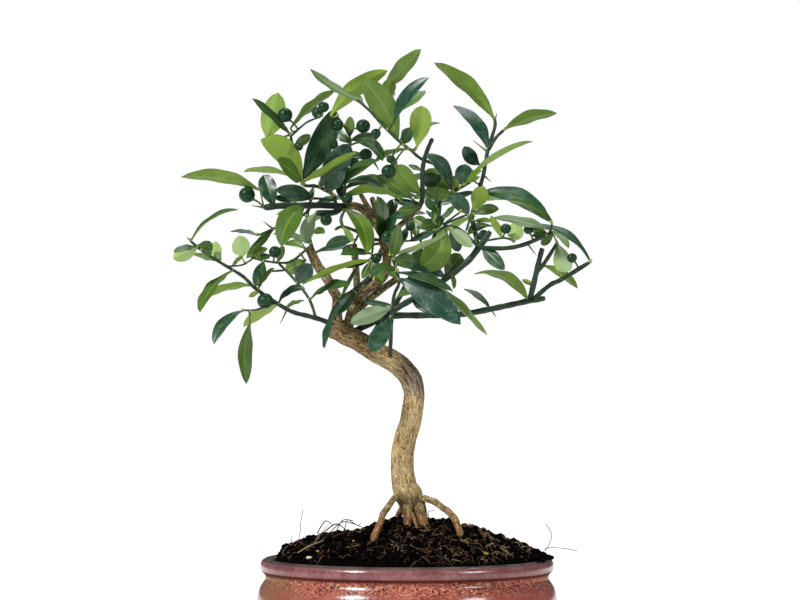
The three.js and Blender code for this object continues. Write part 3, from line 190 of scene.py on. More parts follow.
# Leafy sprays. Leaves are start x and z, tip x and z, seen width, tone (partly painted light, as told at
# LEAF_COLOURS), arch and the tip's depth past the root's. Fruits are x, z and radius. Thorns are x and z,
# then tip x and z.
SPRAYS = {
    "spray_left": {
        "stems": [
            ([[-41, 214], [-50, 218.4], [-59.4, 221.2], [-69, 223.8], [-79.6, 229.8], [-91.5, 238.2],
              [-98.5, 245], [-111, 252.7], [-122, 259.6], [-130, 266.3]], [-1, -36], [3.2, 1.5]),
            ([[-54.8, 220.4], [-58.9, 231.7], [-68.1, 243.7], [-77.5, 253.2]], [-4, 4], [1.9, 1.5]),
            ([[-94.5, 257], [-88, 254.8], [-77.5, 253.2], [-69.4, 254], [-60.5, 261]], [0, 8],
              [1.4, 1.5]),
            ([[-80.7, 248.1], [-73.5, 248.6]], [-4, 0], [1.3, 1.4]),
            ([[-108.4, 251], [-99, 251.8], [-92, 256]], [-30, -3], [1.1, 1.1]),
            ([[-79, 229], [-90, 225], [-98.5, 224.6]], [-14, -34], [1.2, 1.1]),
        ],
        "leaves": [
            [-129.5, 266.8, -101.6, 285.1, 2.8, 0.35, 4.2, -10],
            [-126.7, 261, -140.3, 255.6, 8.7, 0.93, 0, 4],
            [-126, 264, -116.5, 261.5, 7.5, 0.45, 0.5, 12],
            [-113, 254, -114.5, 266, 8, 0.9, -1.5, 9],
            [-99, 256.5, -100.4, 269.6, 11, 0.93, 0, 17],
            [-86, 254.4, -90.6, 238.8, 8, 0.25, 0, -7],
            [-104.5, 248.6, -124.3, 223.4, 6.4, 0.5, 3.2, -26],
            [-94.2, 238.2, -120, 232.9, 4.4, 0.65, 2, 3],
            [-98, 225, -115.8, 204.4, 6.5, 0.15, 3.6, -16],
            [-77.5, 227, -98.2, 214.7, 6, 0.88, 1.3, 12],
            [-94.2, 217, -96.3, 180.3, 8.2, 0.5, -2.3, -6],
            [-76.7, 229.5, -61, 237.8, 4.4, 0.15, 3.4, -10],
            [-58.5, 231, -34, 240, 4.6, 0.35, 3, -24],
            [-66, 241, -57.6, 252.6, 11, 0.12, 0, -13],
            [-60.5, 254.6, -72.4, 248.2, 9.2, 0.5, 0.2, 9],
        ],
        "fruits": [[-79.2, 259.6, 3.7], [-85.1, 230.2, 4.8]],
        "thorns": [
            [-72.1, 224.8, -76.1, 216.6], [-129.6, 266, -132.3, 268.6], [-111.7, 254, -111.7, 259.5],
            [-88.4, 254.8, -88.8, 259.6],
        ],
    },
    "spray_upper_left": {
        "stems": [
            ([[-33, 286.6], [-38, 287.2], [-56, 287.6], [-76, 287.3], [-85.8, 286.2]], [14, 6], [4, 4.2]),
            ([[-38, 287], [-44.3, 283.2], [-54.5, 283]], [13, 4], [3.8, 4]),
            ([[-41.5, 286], [-43, 289.5], [-44.5, 294], [-54, 299], [-62.5, 300.4], [-66.4, 313],
              [-70, 330]], [12, 0], [2.4, 1.7]),
            ([[-69.6, 329], [-60.4, 337.2], [-51, 341]], [2, -8], [1.4, 1.2]),
            ([[-43, 290.5], [-56, 291.8], [-66, 290.3]], [10, 12], [1.9, 1.5]),
            ([[-36.5, 287], [-37.5, 297], [-36, 310], [-34, 326], [-37, 334], [-42, 341]], [14, 4],
              [2.2, 1.4]),
            ([[-56, 288], [-66, 279], [-80.6, 273.4], [-89.3, 269.6]], [9, 18], [1.6, 1.2]),
        ],
        "leaves": [
            [-71.4, 330, -92.7, 351.6, 5, 0.3, 0.6, -12],
            [-84, 327, -77.2, 355.2, 14.6, 0.66, 0, 22],
            [-62.3, 302, -87.9, 327, 15, 0.84, 5.4, -32],
            [-88, 296.4, -135.5, 304.6, 7.4, 0.72, 4.2, -20],
            [-64, 302, -97.9, 307.8, 3, 0.8, 2.8, 4],
            [-80, 289, -86, 306, 11, 0.1, 0, 7],
            [-70, 334, -42.5, 356.8, 4.8, 0.65, 2, 14],
            [-66, 302, -78, 315, 9, 0.45, 0, 2],
            [-57, 293.5, -79, 297, 9.6, 0.15, 1, -18],
            [-61.5, 303, -43, 346, 14.8, 0.2, -1.6, -27],
            [-62.4, 301.6, -31.2, 319.9, 5, 0.8, -1, -24],
            [-52, 299, -34, 324.5, 14, 0.05, 0, -17],
            [-49, 298, -37, 308, 9, 0.08, 0, -13],
            [-46, 296, -18, 314.8, 7.2, 0.35, 2, -32],
            [-42, 320, -47, 330, 6, 0.3, 0, 2],
            [-36, 325, -44.5, 333.5, 6, 0.3, 0, 6],
            [-34.5, 326.4, -17.4, 327.6, 6.2, 0.3, 1.2, 8],
            [-38, 297, -13, 294, 5.5, 0.2, 7, 10],
            [-34, 328, -34, 341, 6, 0.5, 0, 9],
            [-46, 341.4, -11.5, 368.6, 10.4, 0.8, 3.3, -20],
            [-40, 291.5, -2, 289.4, 4.2, 0.7, 6, -25],
            [-36, 301, -12, 296, 6, 0.25, 3.4, 15],
            [-61, 287, -75.5, 263, 13.8, 0.45, 3.8, -23],
            [-54.5, 284, -60.8, 264.5, 8.8, 1, 2.1, 8],
            [-79, 272.5, -96.5, 256, 5.4, 0.35, 0.2, 12],
            [-35.6, 324, -14.5, 314, 6, 0.35, 6, -19],
            [-39, 285.5, -24, 258.5, 9.6, 0.5, 5.6, -21],
        ],
        "fruits": [
            [-96, 293.9, 4.9], [-73.2, 341.8, 4.5], [-50, 346.6, 3.3], [-53.6, 343.2, 3.6],
            [-41.8, 335.5, 3.6], [-26.3, 335.1, 4.3], [-24.7, 318, 3.9], [-64.9, 322.9, 2.6],
            [-43.6, 300.8, 3.3], [-36, 291.6, 3.5], [-48.5, 278.8, 3.6],
        ],
        "thorns": [
            [-80.6, 273.9, -86.3, 278.1], [-86, 288, -93.4, 287.6], [-70, 329, -72.5, 335],
            [-52, 299, -53, 303],
        ],
    },
    "spray_top": {
        "stems": [
            ([[7.4, 287.2], [9.2, 291.2], [9.2, 304], [9.8, 312.5], [11.9, 319.9], [15.3, 327.8]],
              [-2.4, -9.5], [3, 2.6]),
            ([[28, 295.6], [22, 305], [17.7, 311.5], [8.5, 315.5], [1.1, 321.7], [-4, 325.4],
              [-14.6, 335.6], [-22.4, 344.3], [-30.3, 351.3]], [2, -22], [2.1, 1.5]),
            ([[-15, 336], [-13, 348], [-14, 358]], [-15, -2], [1.3, 1.2]),
            ([[27.4, 295.6], [33, 298.8], [38, 301.6]], [2, -6], [2.6, 1.8]),
        ],
        "leaves": [
            [-30, 351, -58, 369.4, 5, 0.45, -2, 8],
            [-5, 327, -27.5, 363.5, 15.5, 0.62, 3.1, -20],
            [-13.5, 350, -9.5, 363.5, 8.4, 0.55, 0, -6],
            [-16, 357, 8.5, 381.3, 9.4, 0.58, 0.3, 11],
            [-8, 337, 13, 364.2, 7.8, 0.08, 3.2, 10],
            [-7, 342.4, 11.2, 356.4, 6.6, 0.5, 0.6, 20],
            [6, 322.6, 8.8, 347.4, 13, 0.8, -0.4, -16],
            [7, 325, 19.7, 337, 4.6, 0.5, 3.8, 14],
            [-2, 324.5, 2, 334.4, 7, 0.3, 0, -11],
            [9, 294, -6.3, 312, 12, 0.55, -1.5, -16],
            [3, 291.3, -18.5, 305.5, 8.5, 0.4, 1, 4],
            [27.5, 297.6, 11, 318, 8, 0.15, 3.8, -19],
            [27.5, 298, 10, 308, 13, 0.66, 0, 14],
            [28, 295, 10.5, 297, 8.5, 0.5, -2, -6],
            [5, 287.5, -5.5, 284.5, 6.5, 0.45, -1, -4],
            [5, 286, -9.5, 281, 6, 0.08, -1, 8],
            [22, 305, 10, 301, 10, 0.3, 0, 21],
            [33, 299, 35, 312.4, 11, 0.1, 0, -1],
            [33, 299, 75, 326, 3.6, 0.7, 4, 25],
            [-22, 344, -8, 353, 5, 0.4, 2, 41],
            [-26, 348, -40, 356, 6, 0.35, 1, 40],
        ],
        "fruits": [[0, 330.5, 3.5], [-18.7, 330.7, 3], [-11.1, 307.9, 4.3], [-10, 315.3, 2.4]],
        "thorns": [[-7, 327.5, -9.6, 330.6], [18, 311, 21.4, 314.6]],
    },
    "spray_inner": {
        "stems": [
            ([[-14, 266.5], [-21.3, 267.6], [-30, 271.9], [-38.6, 274.8], [-43.2, 273]], [8, -10],
              [2.2, 1.8]),
            ([[-20, 267.4], [-21, 258], [-21.5, 254]], [4, -8], [1.4, 1.2]),
            ([[-38.6, 274.8], [-39.6, 279.6], [-37.2, 285]], [-7, -3], [2.2, 1.6]),
        ],
        "leaves": [
            [-31, 267, -48.8, 262.4, 7, 0.25, 1.5, 11],
            [-13.5, 268, -5.8, 280, 7, 0.15, 1, -6],
            [-14.6, 267.5, -18, 293, 8.6, 0.35, 1, -4],
            [-13.4, 268, -8.6, 291.5, 8, 0.25, -1, 4],
            [-13.8, 268, -13.5, 286, 7, 0.45, 0, -8],
            [-21, 258.4, -40, 258, 4.6, 0.3, 1.4, -8],
            [-21.4, 255, -62.8, 240.2, 3.6, 0.75, 1.8, -17],
            [-22, 254.5, -14.5, 240.6, 6.6, 0.5, 0, -5],
        ],
        "fruits": [[-18.3, 256, 3], [-23.4, 274.6, 3]],
        "thorns": [],
    },
    "spray_low": {
        "stems": [
            ([[-41.4, 231.5], [-36, 233.6], [-28, 239.6], [-21, 246.5]], [2, -13], [3, 2.2]),
        ],
        "leaves": [
            [-30.5, 235.5, -42.8, 222, 8, 0.3, 0, -9],
            [-41.5, 233, -49.6, 202, 5, 0.1, 0.6, -24],
            [-22, 245.5, -12, 252, 6, 0.3, 1, -10],
        ],
        "fruits": [],
        "thorns": [],
    },
    "spray_front": {
        "stems": [
            ([[-10.4, 194], [-9.6, 209.5], [-9.2, 222], [-7.6, 234], [-4.8, 241], [-6.5, 249],
              [-9.6, 258.6]], [-3, -16], [2.6, 1.8]),
        ],
        "leaves": [
            [-9.4, 226.4, -34, 216.9, 9.6, 1, 0.5, -9],
            [-10, 220, -22, 200, 10.8, 0.15, 0, -6],
            [-3.5, 244, 32.2, 216, 15.2, 0.1, 2.8, -13],
            [-6, 247.5, 27.5, 236, 5.2, 0.2, 2, 4],
            [-9.6, 258.4, 23.8, 271, 3.2, 0.97, -2.6, 4],
            [-7.5, 256, -4.6, 276, 7.8, 0.45, 0, -7],
            [-7.5, 256, 5, 253.5, 9, 0.3, 0, 8],
            [-7, 252, 14.5, 246.4, 5, 0.12, 1.6, 6],
            [-8.4, 260, 0, 274.5, 5.4, 0.1, -1, -5],
        ],
        "fruits": [[-12, 268.6, 3.5]],
        "thorns": [],
    },
    "spray_right": {
        "stems": [
            ([[-23, 206], [-14, 219.5], [-7.4, 225], [1.5, 230.3], [11, 236], [20.9, 241.8], [36, 253.7],
              [43.2, 262.4], [50, 272]], [-3, -8], [3.8, 4]),
            ([[42.4, 262.8], [38.6, 267], [31.6, 273.3], [23.7, 275.1], [16.5, 272], [17, 287.6],
              [18.7, 299]], [-6, -10], [2, 1.7]),
            ([[22, 275.8], [30, 279.6], [37.6, 281.4], [35.3, 272]], [-8, -14], [1.4, 1.4]),
            ([[21.5, 276], [29, 281.4], [33, 284.4]], [-8, -10], [1.5, 1.1]),
            ([[16.5, 272], [9, 267.5], [-2, 266]], [-8, -6], [1.6, 1]),
            ([[49, 321], [53.2, 328], [58.4, 333]], [14.5, 17], [2.4, 1.8]),
            ([[42.4, 262.8], [40.6, 272.9], [39, 280.3], [41, 289], [45.8, 305.8], [48.5, 320.8],
              [52.7, 334.6], [52.4, 340]], [-6, 22], [3, 2.1]),
            ([[42.3, 262.4], [57.8, 261.8], [69.8, 263.9], [82.8, 269.4], [88.4, 271.4]], [-6, -40],
              [2.8, 2.4]),
            ([[44, 265.6], [57.8, 268], [64.4, 266]], [-8, -18], [1.4, 1.3]),
            ([[85, 270], [87, 276.5], [84, 283]], [-38, -44], [1.8, 0.8]),
        ],
        "leaves": [
            [52.4, 339, 16.2, 373.2, 9.4, 0.68, 3.8, -18],
            [47.2, 321, 27.7, 347.4, 8.6, 0.1, 4.4, 15],
            [43.6, 312, 34.2, 323, 8.4, 0.1, -1.2, -12],
            [57.4, 335, 90, 342.8, 7.4, 0.56, 2.6, -11],
            [43, 294.4, 85.4, 277.6, 10.4, 0.2, 6.8, -16],
            [40, 284, 46, 299, 10, 0.85, 0, -21],
            [42, 291, 64, 292, 4, 0.85, 0.6, 12],
            [39.6, 282.2, 55.2, 285.4, 6.4, 0.45, 1.2, 11],
            [85.6, 277.4, 60.2, 290.6, 6.4, 0.35, 2.8, -9],
            [86, 273, 52, 280.4, 6, 0.45, 0.7, 10],
            [64, 265.6, 66, 277.5, 10, 0.9, 0, 12],
            [57, 267, 50.5, 281.5, 4.6, 0.8, 0, -12],
            [37, 270.5, 52, 275, 5, 0.45, 2.6, 23],
            [44.8, 262.3, 58.6, 248.8, 8.4, 0.25, 0.3, -10],
            [22, 244, 32, 258.5, 11, 0.45, 0, 12],
            [24.7, 275, 39.4, 262.8, 7, 1, 0, -13],
            [26, 274.5, 31, 259.8, 7.2, 0.12, 0, -8],
            [24, 271.5, 8, 250.3, 16.6, 0.55, -3, -14],
            [9, 262, 3.5, 250.5, 9, 0.45, 0, 6],
            [16.7, 272.6, 4, 280, 7.5, 0.45, 0, 6],
            [36.6, 282.6, 25.4, 292.4, 9, 0.15, 2, -4],
            [41.5, 296, 20, 289.4, 4, 0.2, 0.6, 8],
            [7, 266.8, 5, 279, 5.6, 0.45, -1, 5],
            [18, 272.5, 1.5, 266, 4.2, 0.15, 0, -5],
            [22, 246, 6, 252, 6.5, 0.12, 1, 6],
            [9, 235, -6.3, 232.5, 4.5, 0.65, 2, -13],
            [2.5, 231, 13.5, 223, 6.4, 0.12, 1, -11],
            [18, 240, 48, 210, 4.6, 0.6, 0.3, -16],
            [41, 301.5, 30, 310, 7, 0.2, 1, 25],
        ],
        "fruits": [[59.3, 273.6, 3.2], [72.8, 273, 2.8], [1.9, 275, 2.8]],
        "thorns": [
            [47.6, 319.8, 39.4, 326.8], [52.8, 338, 54, 343], [46, 305.8, 50.4, 301.6],
            [72.3, 264.3, 77.8, 257.3],
        ],
    },
    "spray_long": {
        "stems": [
            ([[-36, 209.8], [-20, 217.6], [-8, 221.3], [10, 221.6], [32.5, 222.3], [49.8, 225.3],
              [60.8, 227.6], [72.8, 230.2], [83, 231.9]], [3, 6], [4.2, 3.6]),
            ([[73.6, 230.2], [77, 244.8], [80.3, 258.6], [81.2, 261.4]], [5.8, 18], [3.8, 3.2]),
            ([[77.6, 247], [83, 253.8], [90.3, 265.3]], [9, 16], [2.8, 2.2]),
            ([[75, 230.6], [85.8, 239.8], [93, 243.3], [110.3, 253.9]], [5.8, -16], [3, 2.6]),
        ],
        "leaves": [
            [109.5, 255, 77, 276.3, 4.6, 0.2, 5.1, 4],
            [89, 265.8, 95.6, 247.2, 11.2, 0.93, 0, -20],
            [82, 251, 102.4, 237.8, 5.4, 0.65, 2, -3],
            [72.4, 231.5, 40.3, 246.6, 6.4, 0.65, 6.7, -24],
            [49.6, 227.4, 34.2, 237.4, 3.8, 0.4, 1.6, 7],
        ],
        "fruits": [[99, 256, 3]],
        "thorns": [[50.3, 225, 53.6, 220.4]],
    },
}

# Leaflets too small for the solid model, in the same form as the leaves above
LEAFLETS = {
    "spray_long": [
        [75.6, 240, 69, 243, 3, 0.7, 0, 0], [88, 270, 80.5, 264, 5, 0.45, 0, 8],
    ],
    "spray_front": [
        [-9.2, 221, -11.5, 207, 4, 0.1, 0, -18], [-8, 243, -12.5, 251, 5, 0.4, 0, -3],
        [-9.5, 227.6, -26, 229.6, 3.6, 0.1, 0, 6], [-6.6, 249, -19, 250, 5, 0.4, 1, -16],
    ],
    "spray_low": [
        [-40, 232.5, -29, 251, 2.8, 0.25, 0, -14],
    ],
    "spray_inner": [
        [-38.8, 274.4, -31.9, 266, 4, 0.55, 0, -10], [-32, 264.5, -38.8, 259.5, 4, 0.15, 0, 8],
        [-22, 254.5, -27, 243.5, 4.6, 0.6, 0, -3], [-24, 255, -38.4, 250.4, 4, 0.1, 0, 3],
    ],
    "spray_left": [
        [-127, 261.6, -140, 259.6, 4, 0.3, 0.5, -14], [-114, 254.5, -129.5, 258.8, 3, 0.55, -0.4, 11],
        [-124, 261.4, -117, 258.5, 3.6, 0.4, 0, 2], [-95, 256, -83.5, 261.5, 5, 0.6, 0.6, 13],
        [-91, 255.5, -82, 257.5, 4, 0.3, 0, 10], [-89.2, 237.5, -79.7, 250, 3, 0.5, 1, -11],
        [-66, 240.5, -52, 244.6, 2.4, 0.1, 0.6, -4], [-77.5, 254, -74.2, 263.5, 4.6, 0.35, 0, 6],
        [-61, 262, -73.5, 264, 4.5, 0.5, 2.4, 9], [-104, 252, -99.3, 257.4, 3, 0.5, 0, 12],
        [-88, 236, -95, 233, 3, 0.7, 0, -8], [-72.1, 226.4, -61.7, 230.6, 2.6, 0.5, 1, 14],
    ],
    "spray_upper_left": [
        [-36, 311, -29.5, 316, 6, 0.1, 0, 6], [-38, 290, -41.6, 300.5, 5.6, 0.05, 0, 4],
        [-66, 289.5, -80, 292.5, 4.5, 0.08, 0, 5], [-89.3, 269.6, -105.9, 272, 2.6, 0.15, 1, 8],
        [-67, 322, -58, 330, 6, 0.5, 0, 10], [-36, 316, -17, 309, 4, 0.3, 4, 16],
    ],
    "spray_top": [
        [1, 321, -19, 313.5, 3, 0.6, 2, 17], [28.8, 296.4, 30, 305, 4.6, 0.8, 0, 4],
        [5.5, 289, -8, 291, 4.5, 0.05, -0.5, 5], [34, 301, 44.7, 308.3, 4, 0.5, 1, -20],
        [37.2, 301.6, 43.6, 305, 2.6, 0.45, 0, 2], [8.7, 308, 1, 312, 3, 0.5, 0, 8],
    ],
    "spray_right": [
        [85, 270, 72, 273, 4.5, 0.6, 1, 12], [84.5, 270.4, 75, 269.6, 3.4, 0.3, 0, 6],
        [42, 266, 48.5, 271.5, 5, 0.05, 1, 8], [18.5, 272.8, 20, 281.5, 5, 0.3, 0, 2],
        [16.5, 276.5, 8.6, 275, 8, 0.35, 0, -14], [17, 284.5, 11.2, 291.6, 5.6, 0.3, 0, -9],
        [17, 279, 11.4, 284.6, 2.4, 0.05, 0, 4], [28.5, 290.4, 18.4, 288.6, 3.2, 0.15, 0, 3],
        [17, 287, 15.8, 277, 4.4, 0.35, 0, -6], [29, 288, 21.5, 279.5, 3.6, 0.35, 0, -5],
        [27, 248, 28, 237.5, 3, 0.5, 0, -10], [88, 271.4, 97, 262, 4, 0.4, 1, -12],
        [38.5, 277.6, 51.8, 277.6, 3, 0.5, 1, -6],
    ],
}

# Yellow-green buds, as seen x and z, with their size
BUDS = {
    "spray_front": [[-9.8, 258.8, 1.6], [-7.2, 248.6, 1.5]],
    "spray_top": [[28.4, 296.4, 1.5], [31.2, 299.2, 1.1], [1, 322, 0.9]],
    "spray_upper_left": [[-44, 294, 1.4], [-62.6, 300.8, 1.5], [-41.5, 334, 1.2], [-69.8, 331, 1]],
    "spray_inner": [[-15, 268, 1.1]],
    "spray_left": [[-95, 257, 1.1], [-60.4, 261, 1]],
    "spray_right": [[40, 282, 1.1], [57.4, 335, 0.8], [86, 276.6, 0.9]],
    "spray_long": [[73, 231.6, 1], [109.6, 254.6, 0.9]],
}

# Sprays behind the crown: stem, and the seed of its leaves
BACK_SPRAYS = {
    "spray_back_left": (
        ([[-41, 221], [-43, 234], [-50, 247], [-57, 262], [-60, 280], [-56, 296]], [1.5, 56], [3.6, 1.8]),
        11,
    ),
    "spray_back_middle": (
        ([[-24, 239], [-19, 252], [-12, 268], [-8, 282], [-6, 294], [-9, 305]], [5, 52], [4, 1.8]),
        23,
    ),
    "spray_back_right": (
        ([[-20, 204], [-8, 226], [5, 250], [16, 268], [20, 290], [18, 306]], [2, 58], [4, 1.8]),
        37,
    ),
}

# Light bits in the soil: seen x, seen z, depth, size, tone
SOIL_GRAINS = [
    [-58.6, 74.9, -48, 2.5, 0.95], [-53.6, 80, -44, 1.5, 0.55], [47.2, 78, -50, 2.6, 0.4],
    [45, 72.4, -62, 0.9, 0.5], [-32, 86.4, -40, 0.8, 0.7], [-23.5, 74.6, -66, 0.9, 0.35],
    [1.5, 77.8, -62, 0.9, 0.4], [-35.5, 74.8, -62, 1.1, 0.3], [69, 75.6, -30, 1.2, 0.75],
    [-9, 84, -52, 0.7, 0.6], [20, 81.5, -56, 0.7, 0.7],
]

# Hair roots that stand up from the soil's edge, as seen x and z
HAIR_ROOTS = [
    [[-66.5, 83.5], [-64.3, 90], [-63.8, 97], [-62.4, 105]],
    [[-70.2, 80], [-69.4, 85.5], [-68.8, 89.5]],
    [[82.5, 80.2], [84.3, 82.3], [86.9, 89.8], [83.1, 96.6]],
    [[83, 80.4], [83.6, 82], [91.8, 82], [102, 80.4]],
    [[51.5, 84], [50.6, 88.6], [48.6, 92.6]],
]

# Twigs that stick out of the heap: path as seen x and z, depth, width, tone
TWIGS = [
    ([[-57.5, 82], [-51, 91.5], [-45.5, 97.6]], -14, 0.6, 0.6),
    ([[-54, 90.5], [-49.2, 98.1], [-44.7, 96]], -2, 0.8, 0.14),
    ([[-50.2, 91], [-42.5, 96.4], [-35, 91.5]], -4, 0.9, 0.12),
    ([[-46, 91.5], [-39.5, 97.3], [-33.5, 97], [-24, 93]], 0, 0.7, 0.18),
    ([[-37.6, 91], [-35.7, 98.8], [-29.7, 95.6], [-26.7, 98.1]], 0, 0.6, 0.15),
    ([[-43, 91], [-38.6, 98.6], [-32, 98.4]], 2, 0.7, 0.14),
    ([[-65.7, 79], [-58.2, 83.4], [-50, 86.4]], -34, 0.7, 0.75),
    ([[-72, 80], [-67, 86], [-63, 85]], -10, 0.7, 0.16),
    ([[20, 96], [26, 100.6], [31, 97]], 4, 0.6, 0.16),
    ([[14, 98], [12.6, 103.4], [17, 104.6]], 6, 0.6, 0.2),
]

# Colours of the leaves: tone, then the colour as sRGB. Tone is partly the leaf's own colour and partly
# painted light:
# the darkest tones are painted shade on leaves whose tops lie in shade, the bright yellow-green is partly
# painted back light on undersides, and the pale grey-green at 1 is a painted glare
LEAF_COLOURS = [
    (0, (20, 58, 46)),
    (0.15, (19, 63, 38)),
    (0.3, (30, 70, 21)),
    (0.5, (72, 104, 24)),
    (0.65, (108, 140, 34)),
    (0.8, (144, 176, 48)),
    (0.9, (152, 178, 82)),
    (1, (128, 150, 112)),
]


def srgb(red, green, blue):
    """Linear colour of an sRGB one, with an alpha of 1."""
    def linear(value):
        value = value / 255
        return value / 12.92 if value <= 0.04045 else ((value + 0.055) / 1.055) ** 2.4
    return (linear(red), linear(green), linear(blue), 1.0)


class Repeatable:
    """Numbers between 0 and 1 that come out the same on every run."""

    def __init__(self, seed):
        self.state = seed

    def __call__(self, low=0.0, high=1.0):
        self.state = (self.state * 16807) % 2147483647
        return low + (high - low) * self.state / 2147483647


def seen(x, y, z):
    """Carries a place seen from the front to its true place at depth y."""
    reach = (EYE_DISTANCE + y) / EYE_DISTANCE
    return Vector((EYE_X + (x - EYE_X) * reach, y, EYE_Z + (z - EYE_Z) * reach))


def between(a, b, t):
    return a + (b - a) * t


def eased(low, high, value):
    """0 below low, 1 above high and a smooth rise between them."""
    t = min(1.0, max(0.0, (value - low) / (high - low)))
    return t * t * (3 - 2 * t)


def read_curve(curve, place):
    """Reads a height from a list of [place, height], straight between its rows."""
    for before, after in zip(curve, curve[1:]):
        if place <= after[0]:
            return between(before[1], after[1], (place - before[0]) / (after[0] - before[0]))
    return curve[-1][1]


def ring(radius, count):
    """Places on a circle round the z axis, as (share of the turn, x, y)."""
    for i in range(count):
        angle = 2 * math.pi * i / count
        yield i / count, radius * math.cos(angle), radius * math.sin(angle)


# Stems

class Stem:
    """A stem of the lists with its true points, depths and widths."""

    def __init__(self, path, ends, widths, spread=DEPTH_SPREAD):
        self.path = path
        lengths = [0.0]
        for before, after in zip(path, path[1:]):
            lengths.append(lengths[-1] + math.dist(before, after))
        shares = [length / lengths[-1] for length in lengths]
        self.depths = [spread * between(*ends, share) for share in shares]
        self.points = [seen(x, depth, z) for (x, z), depth in zip(path, self.depths)]
        self.widths = [between(*widths, share) for share in shares]


def nearest_on_stems(stems, x, z):
    """(distance, x, z, depth) of the place on the stems that is nearest as seen from the front."""
    best = (math.inf, 0, 0, 0)
    for stem in stems:
        for i in range(1, len(stem.path)):
            ax, az = stem.path[i - 1]
            bx, bz = stem.path[i]
            squared = (bx - ax) ** 2 + (bz - az) ** 2
            t = min(1, max(0, ((x - ax) * (bx - ax) + (z - az) * (bz - az)) / squared))
            px, pz = between(ax, bx, t), between(az, bz, t)
            distance = math.hypot(x - px, z - pz)
            if distance < best[0]:
                best = (distance, px, pz, between(stem.depths[i - 1], stem.depths[i], t))
    return best


def joined_stems(rows):
    """The stems of a spray, where each later one starts and ends at the depth of the one it meets."""
    stems = []
    for path, ends, widths in rows:
        ends = list(ends)
        for end, place in ((0, path[0]), (1, path[-1])):
            distance, _, _, found = nearest_on_stems(stems, *place)
            if distance < JOIN_REACH:
                ends[end] = found / DEPTH_SPREAD
        stems.append(Stem(path, ends, widths))
    return stems


def smooth_path(points, widths, steps):
    """A smooth curve through all the points, with the widths carried along."""
    line, girth = [], []
    for i in range(len(points) - 1):
        p0 = points[max(i - 1, 0)]
        p1, p2 = points[i], points[i + 1]
        p3 = points[min(i + 2, len(points) - 1)]
        for step in range(steps):
            t = step / steps
            line.append(0.5 * (2 * p1 + (p2 - p0) * t + (2 * p0 - 5 * p1 + 4 * p2 - p3) * t * t
                               + (3 * p1 - p0 - 3 * p2 + p3) * t ** 3))
            girth.append(between(widths[i], widths[i + 1], t))
    return line + [points[-1].copy()], girth + [widths[-1]]


class Skin:
    """Gathers points and faces in millimetres, with a look for each point and a material for each face.

    A look is (place along, place across, tone, seed), each from 0 to 1."""

    def __init__(self):
        self.points = []
        self.faces = []
        self.looks = []
        self.kinds = []

    def add(self, points, faces, looks, kind):
        first = len(self.points)
        self.points.extend(points)
        self.looks.extend(looks)
        for face in faces:
            self.faces.append([first + corner for corner in face])
            self.kinds.append(kind)

    def make(self, name, materials):
        mesh = bpy.data.meshes.new(name)
        mesh.from_pydata([point * MM for point in self.points], [], self.faces)
        mesh.attributes.new("look", "FLOAT_COLOR", "POINT")
        mesh.attributes["look"].data.foreach_set("color", [part for look in self.looks for part in look])
        mesh.polygons.foreach_set("material_index", self.kinds)
        mesh.polygons.foreach_set("use_smooth", [True] * len(self.faces))
        for material in materials:
            mesh.materials.append(material)
        mesh.update()
        piece = bpy.data.objects.new(name, mesh)
        bpy.context.scene.collection.objects.link(piece)
        return piece


def ring_faces(rows, sides):
    """Faces of a tube, closed at both ends, whose rows of points come one after another."""
    faces = []
    for row in range(rows - 1):
        for side in range(sides):
            after = (side + 1) % sides
            low, high = row * sides, (row + 1) * sides
            faces.append([low + side, low + after, high + after, high + side])
    faces.append(list(range(sides))[::-1])
    faces.append([(rows - 1) * sides + side for side in range(sides)])
    return faces


def add_tube(skin, line, girth, sides, kind, tone, seed):
    """Round tube along a line, closed at both ends."""
    points, looks = [], []
    across = None
    for i, centre in enumerate(line):
        along = (line[min(i + 1, len(line) - 1)] - line[max(i - 1, 0)]).normalized()
        if across is None:
            across = Vector((0, 1, 0)) if abs(along.y) < 0.9 else Vector((1, 0, 0))
        across = (across - along * across.dot(along)).normalized()
        other = along.cross(across)
        for side in range(sides):
            angle = 2 * math.pi * side / sides
            spoke = across * math.cos(angle) + other * math.sin(angle)
            points.append(centre + spoke * girth[i] / 2)
            looks.append((i / (len(line) - 1), side / sides, tone, seed))
    skin.add(points, ring_faces(len(line), sides), looks, kind)


def add_curve(skin, points, widths, steps, sides, kind, tone, seed):
    """Round tube along a smooth curve through the points."""
    line, girth = smooth_path(points, widths, steps)
    add_tube(skin, line, girth, sides, kind, tone, seed)


def add_ball(skin, centre, radius, kind, tone, seed, squash=1.0, columns=24, rows=14):
    points, looks = [], []
    for row in range(rows + 1):
        angle = math.pi * (0.02 + 0.96 * row / rows)
        for share, x, y in ring(radius * math.sin(angle), columns):
            points.append(centre + Vector((x, y, -radius * squash * math.cos(angle))))
            looks.append((row / rows, share, tone, seed))
    skin.add(points, ring_faces(rows + 1, columns), looks, kind)


def apply_modifiers(piece):
    """Takes the piece's shape after its modifiers as its mesh."""
    graph = bpy.context.evaluated_depsgraph_get()
    mesh = bpy.data.meshes.new_from_object(piece.evaluated_get(graph))
    piece.modifiers.clear()
    piece.data = mesh


# Leaves

